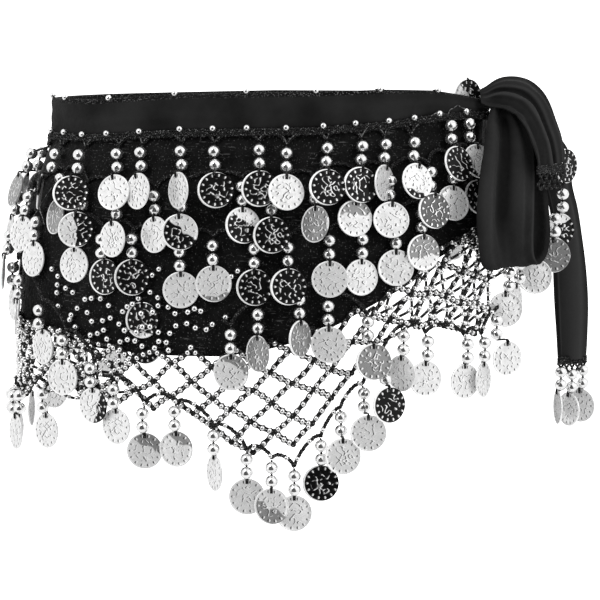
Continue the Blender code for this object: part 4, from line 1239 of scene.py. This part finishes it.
def chiffon():
    """Matte slubbed black chiffon, marked with lurex specks, painted shade and painted light."""
    made = Recipe("sheer_chiffon")
    edge, shade, light, _ = made.marks()
    slub = made.noise(420.0, 2.0)
    normal = made.bump(made.noise(2600.0, 1.0), 0.0001, 0.35)
    normal = made.bump(slub, 0.0003, 0.3, normal)
    specks = made.ramp(made.noise(1300.0, 1.0), 0.58, 0.66) * edge
    cloudy = made.ramp(made.noise(30.0, 3.0), 0.3, 0.7)
    colour = made.mix(cloudy, grey(0.007), grey(0.018))
    # Painted shade in the valleys of the tie's strips and painted light on their ridges.
    colour = made.mix(light, made.mix(shade, colour, grey(0.0005)), grey(0.03))
    return made.finish(
        Base_Color=made.mix(specks, made.mix(edge, colour, grey(0.003)), grey(0.13)),
        Roughness=made.ramp(slub, 0.3, 0.7, 0.75, 0.9),
        Specular_IOR_Level=0.06,
        Sheen_Weight=0.02,
        Sheen_Roughness=0.45,
        Normal=normal,
    )


def black_thread():
    """Twisted, slightly fuzzy cotton with a few bright specks."""
    made = Recipe("crochet_cotton")
    wave = {"Vector": made.place(), "Scale": 300.0, "Distortion": 2.0}
    twist = made.node("TexWave", wave, 1, bands_direction="DIAGONAL")
    fuzz = made.noise(900.0, 3.0, 0.7)
    colour = made.mix(made.ramp(fuzz, 0.35, 0.7), grey(0.003), grey(0.01))
    glints = made.ramp(made.noise(1300.0, 1.0), 0.6, 0.68)
    return made.finish(
        Base_Color=made.mix(glints, colour, grey(0.16)),
        Roughness=made.ramp(fuzz, 0.3, 0.7, 0.7, 0.9),
        Specular_IOR_Level=0.25,
        Normal=made.bump(twist + fuzz, 0.0003, 0.7),
    )


def lurex():
    """Fine grey metallic thread."""
    made = Recipe("lurex_thread")
    glints = made.ramp(made.noise(800.0, 1.0), 0.45, 0.6)
    return made.finish(
        Base_Color=made.mix(glints, grey(0.03), grey(0.3)), Metallic=0.3, Roughness=0.5
    )


def chrome():
    """Plated beads: bright, with faint handling marks."""
    made = Recipe("plated_bead")
    marks = made.noise(260.0, 4.0, 0.65)
    return made.finish(
        Base_Color=made.mix(made.ramp(marks, 0.35, 0.75), grey(0.95), grey(0.8)),
        Metallic=0.93,
        Roughness=made.ramp(marks, 0.35, 0.75, 0.05, 0.14),
        Normal=made.bump(marks, 0.0001, 0.25),
    )


def engraved(made, across, up, turned):
    """Where a coin's ornament stands up, a ring of dots round short scrolls, and its radius."""
    flat = made.node("CombineXYZ", {0: across, 1: up, 2: 0.0})
    radius = made.node("VectorMath", {0: flat}, "Value", operation="LENGTH")
    step = made.math("FRACT", made.math("ARCTAN2", across, up) * (COIN_DOTS / (2 * math.pi)))
    aside = (step - 0.5) * (5.2 / COIN_DOTS)
    inward = (radius - 0.81) * 0.7
    dots = made.ramp(made.math("SQRT", aside * aside + inward * inward), 0.045, 0.065, 1.0, 0.0)
    seeded = made.node("CombineXYZ", {0: across, 1: up, 2: turned})
    off = abs(made.noise(3.1, 0.6, 0.4, seeded) - 0.5)
    broken = made.ramp(made.noise(4.5, 0.0, 0.5, seeded), 0.38, 0.43)
    inside = made.ramp(radius, 0.56, 0.64, 1.0, 0.0)
    strokes = made.ramp(off, 0.026, 0.042, 1.0, 0.0) * broken * inside
    return made.math("MAXIMUM", dots, strokes), radius


def silver():
    """A struck coin with a plain generic ornament: scrolls in a ring of dots, inside a rim.

    The marks on its points are its place across and up the face, how much of its ground is painted
    dark as a painted reflection, negative where that part is painted grey instead, and how far its
    scrolls are turned.
    """
    made = Recipe("struck_silver")
    across, up, painted_reflection_mark, turned = made.marks()
    lit, radius = engraved(made, across - 0.075, up, turned)
    struck, _ = engraved(made, across, up, turned)
    shaded = made.math("SUBTRACT", struck, lit, clamp=True)

    # The part of the ground painted dark as a painted reflection, past a wandering line that leans
    # its own way.
    tilt = turned * 7.0
    lean = across * made.math("COSINE", tilt) + up * made.math("SINE", tilt)
    wander = made.node("CombineXYZ", {0: across, 1: up, 2: tilt})
    wobble = made.noise(1.3, 1.0, 0.5, wander) - 0.5
    dark = made.ramp(lean + wobble + (abs(painted_reflection_mark) * 3.2 - 1.6), -0.04, 0.04)
    pale = made.ramp(painted_reflection_mark, -0.02, 0.0, 1.0, 0.0)

    wear = made.noise(330.0, 4.0, 0.6)
    bright = made.mix(made.ramp(wear, 0.35, 0.7), grey(0.84), grey(0.7))
    # Where the painted reflection is negative, its part of the face is painted grey instead of
    # dark.
    greyed = made.mix(made.ramp(painted_reflection_mark, -1.0, -0.8), grey(0.1), grey(0.28))
    colour = made.mix(dark, bright, made.mix(pale, grey(0.007), greyed))
    colour = made.mix(lit * (1.0 - struck * 0.7), colour, grey(0.95))
    colour = made.mix(shaded * 0.9, colour, grey(0.03))
    # Painted highlight: the rim is painted near white, as the light along its edge.
    colour = made.mix(made.ramp(radius, 0.945, 0.965), colour, grey(0.95))
    outside = made.ramp(abs(across), 0.07, 0.1), made.ramp(up, 0.68, 0.72, 1.0, 0.0)
    return made.finish(
        Base_Color=made.mix(made.math("MAXIMUM", *outside), grey(0.002), colour),
        Metallic=0.4,
        Roughness=made.ramp(wear, 0.3, 0.7, 0.24, 0.36),
        Specular_IOR_Level=0.2,
        Normal=made.bump(struck + wear * 0.35, 0.0002, 0.5),
    )


BLACK_THREAD, LUREX, CHROME, SILVER = black_thread(), lurex(), chrome(), silver()
CRINKLED, CHIFFON = crinkled(), chiffon()


def plain(name, colour, glow):
    return Recipe(name).finish(
        Base_Color=grey(colour),
        Roughness=0.9,
        Specular_IOR_Level=0.0,
        Emission_Color=grey(1.0),
        Emission_Strength=glow,
    )


def stage(made, finish, blind):
    """Gives a studio object its finish, and hides it from the kinds of ray in blind."""
    made.data.materials.append(finish)
    for ray in blind:
        setattr(made, "visible_" + ray, False)


def staged(name, points, faces, finish, blind):
    mesh = bpy.data.meshes.new(name)
    mesh.from_pydata(points, [], faces)
    stage(link(name, mesh), finish, blind)


def disc(radius, height, sides=96):
    points = [(radius * math.cos(a), radius * math.sin(a), height) for a in circle(sides)]
    return points, [range(sides)]


def card(azimuth, distance, half_angle, low, high):
    """An upright curved card facing the object."""
    turned = [math.radians(azimuth + half_angle * (k / 4 - 1)) for k in range(9)]
    around = [(distance * math.sin(a), -distance * math.cos(a)) for a in turned]
    points = [(x, y, height) for height in (low, high) for x, y in around]
    return points, [(k, k + 1, k + 10, k + 9) for k in range(8)]


def edges():
    """The dark hem of the tent's opening, and the seams that run from its corners."""
    corners = [np.array([x, OPENING_Y + 0.01, z]) for x, z in OPENING]
    middle = sum(corners) / 3
    quads = []
    for pair in zip(corners, corners[1:] + corners[:1]):
        quads += [*pair, *(end + (middle - end) * OPENING_HEM for end in reversed(pair))]
    for corner, side in zip(corners, np.array(SEAM_SIDES)):
        away = corner + (corner - middle) * SEAM_LENGTH + SEAM_AWAY
        quads += [corner, away, away + side * SEAM_FLARE, corner + side]
    faces = np.arange(len(quads)).reshape(-1, 4).tolist()
    return [tuple(point) for point in quads], faces


def studio():
    """A pale floor and backdrop, a tent of soft light with dark gaps, and soft boxes."""
    world = bpy.data.worlds.new("dome")
    world.use_nodes = True
    world.node_tree.nodes["Background"].inputs["Color"].default_value = grey(DOME)
    bpy.context.scene.world = world
    bpy.context.scene.view_settings.view_transform = "Standard"

    white, black = plain("pale_floor", 0.9, 1.0), plain("dark_card", 0.05, 0.0)
    blind = ("diffuse", "glossy", "transmission", "shadow", "volume_scatter")
    staged("floor", *disc(FLOOR_RADIUS, FLOOR), white, blind)
    bpy.ops.mesh.primitive_uv_sphere_add(segments=48, ring_count=24, radius=BACKDROP_RADIUS)
    backdrop = bpy.context.object
    backdrop.name = "backdrop"
    stage(backdrop, white, blind)
    blind = ("camera", "shadow", "diffuse")
    staged("card_behind", *card(*CARD_BEHIND), black, blind)
    opening = [(x, OPENING_Y, z) for x, z in OPENING]
    staged("tent_opening", opening, [(0, 1, 2)], plain("tent_gap", 0.0, 0.02), blind)
    staged("tent_edges", *edges(), black, blind)
    for name, place, size, power in SOFT_BOXES:
        lamp = bpy.data.lights.new(name, "AREA")
        lamp.shape = "DISK"
        lamp.size = size
        lamp.energy = power
        made = link(name, lamp)
        made.location = place
        made.rotation_euler = (-Vector(place)).to_track_quat("-Z", "Y").to_euler()


def camera():
    lens = bpy.data.cameras.new("camera")
    lens.lens = CAMERA_LENS
    lens.sensor_width = 36.0
    made = link("camera", lens)
    made.location = CAMERA_PLACE
    made.rotation_euler = (math.radians(90.0 - CAMERA_PITCH), 0.0, 0.0)
    bpy.context.scene.camera = made


# Cloth is cut a little larger than the stretch that it covers, for its crinkle, folds and hems.
LENGTH_EASE = 1.02


def band_cut(first, last):
    """The length and width of chiffon in a stretch of the waistband, in metres."""
    turns = np.linspace(first, last, 90)
    length = steps(on_hips(turns, column(BAND, turns, 1), BAND_THICK)).sum()
    return length * LENGTH_EASE * MM, 2 * BAND_THICK * MM + 2 * column(BAND, turns, 2).max() * MM


def main():
    camera()
    studio()
    cloth_front = cloth("cloth_front", "panel_front", SIDE_SEAM, FRONT_END)
    cloth_back = cloth("cloth_back", "panel_back", BACK_END, SIDE_SEAM)
    band_front = band("band_front", "waistband_front", SIDE_SEAM, BAND_FRONT_END)
    band_back = band("band_back", "waistband_back", BAND_BACK_END, SIDE_SEAM)

    front_arc = float(arc_at(SIDE_SEAM)) + NET_PAD + NET_GAP
    front_columns = 1 + int((arc_at(NET_FRONT_END) - front_arc) // NET_PITCH)
    back_columns = 1 + int((front_arc - arc_at(BACK_END)) // NET_PITCH)
    back_arc = front_arc - 2 * NET_PAD - NET_GAP - (back_columns - 1) * NET_PITCH
    net_front = net("beaded_net_front", "net_front", front_arc, front_columns)
    net_back = net("beaded_net_back", "net_back", back_arc, back_columns)

    loop, upper, lower = (strip(*row) for row in STRIPS)
    tied = knot()

    rows = {name: row_of_strings(name) for name in ROWS}
    upper_strings = tail_strings("tail_upper_fringe", TAIL_UPPER, UPPER_SCALLOPS)
    lower_strings = tail_strings("tail_lower_fringe", TAIL_LOWER, LOWER_SCALLOPS)
    coins = [loose_coin(*coin) for coin in LOOSE_COINS]
    top_seeds = seeds_on("seeds_top", TOP_EDGE_SEEDS, BAND_THICK - CLOTH + 1.0)
    panel_seeds = seeds_on("seeds_panel", PANEL_SEEDS, CLOTH_MOST + SEED * 0.8, PANEL_COINS)
    foot_front = foot_line("foot_line_front", SIDE_SEAM, BAND_FRONT_END, FOOT_SEEDS)
    back_feet = [(turn, float(band_foot(turn)) + 1.8) for turn in BACK_SEEDS]
    foot_back = foot_line("foot_line_back", FOOT_BACK_END, SIDE_SEAM, back_feet)

    on_front = [row for name, row in rows.items() if not name.endswith("_back")]
    band_cut(SIDE_SEAM, BAND_FRONT_END)
    band_cut(BAND_BACK_END, SIDE_SEAM)


main()
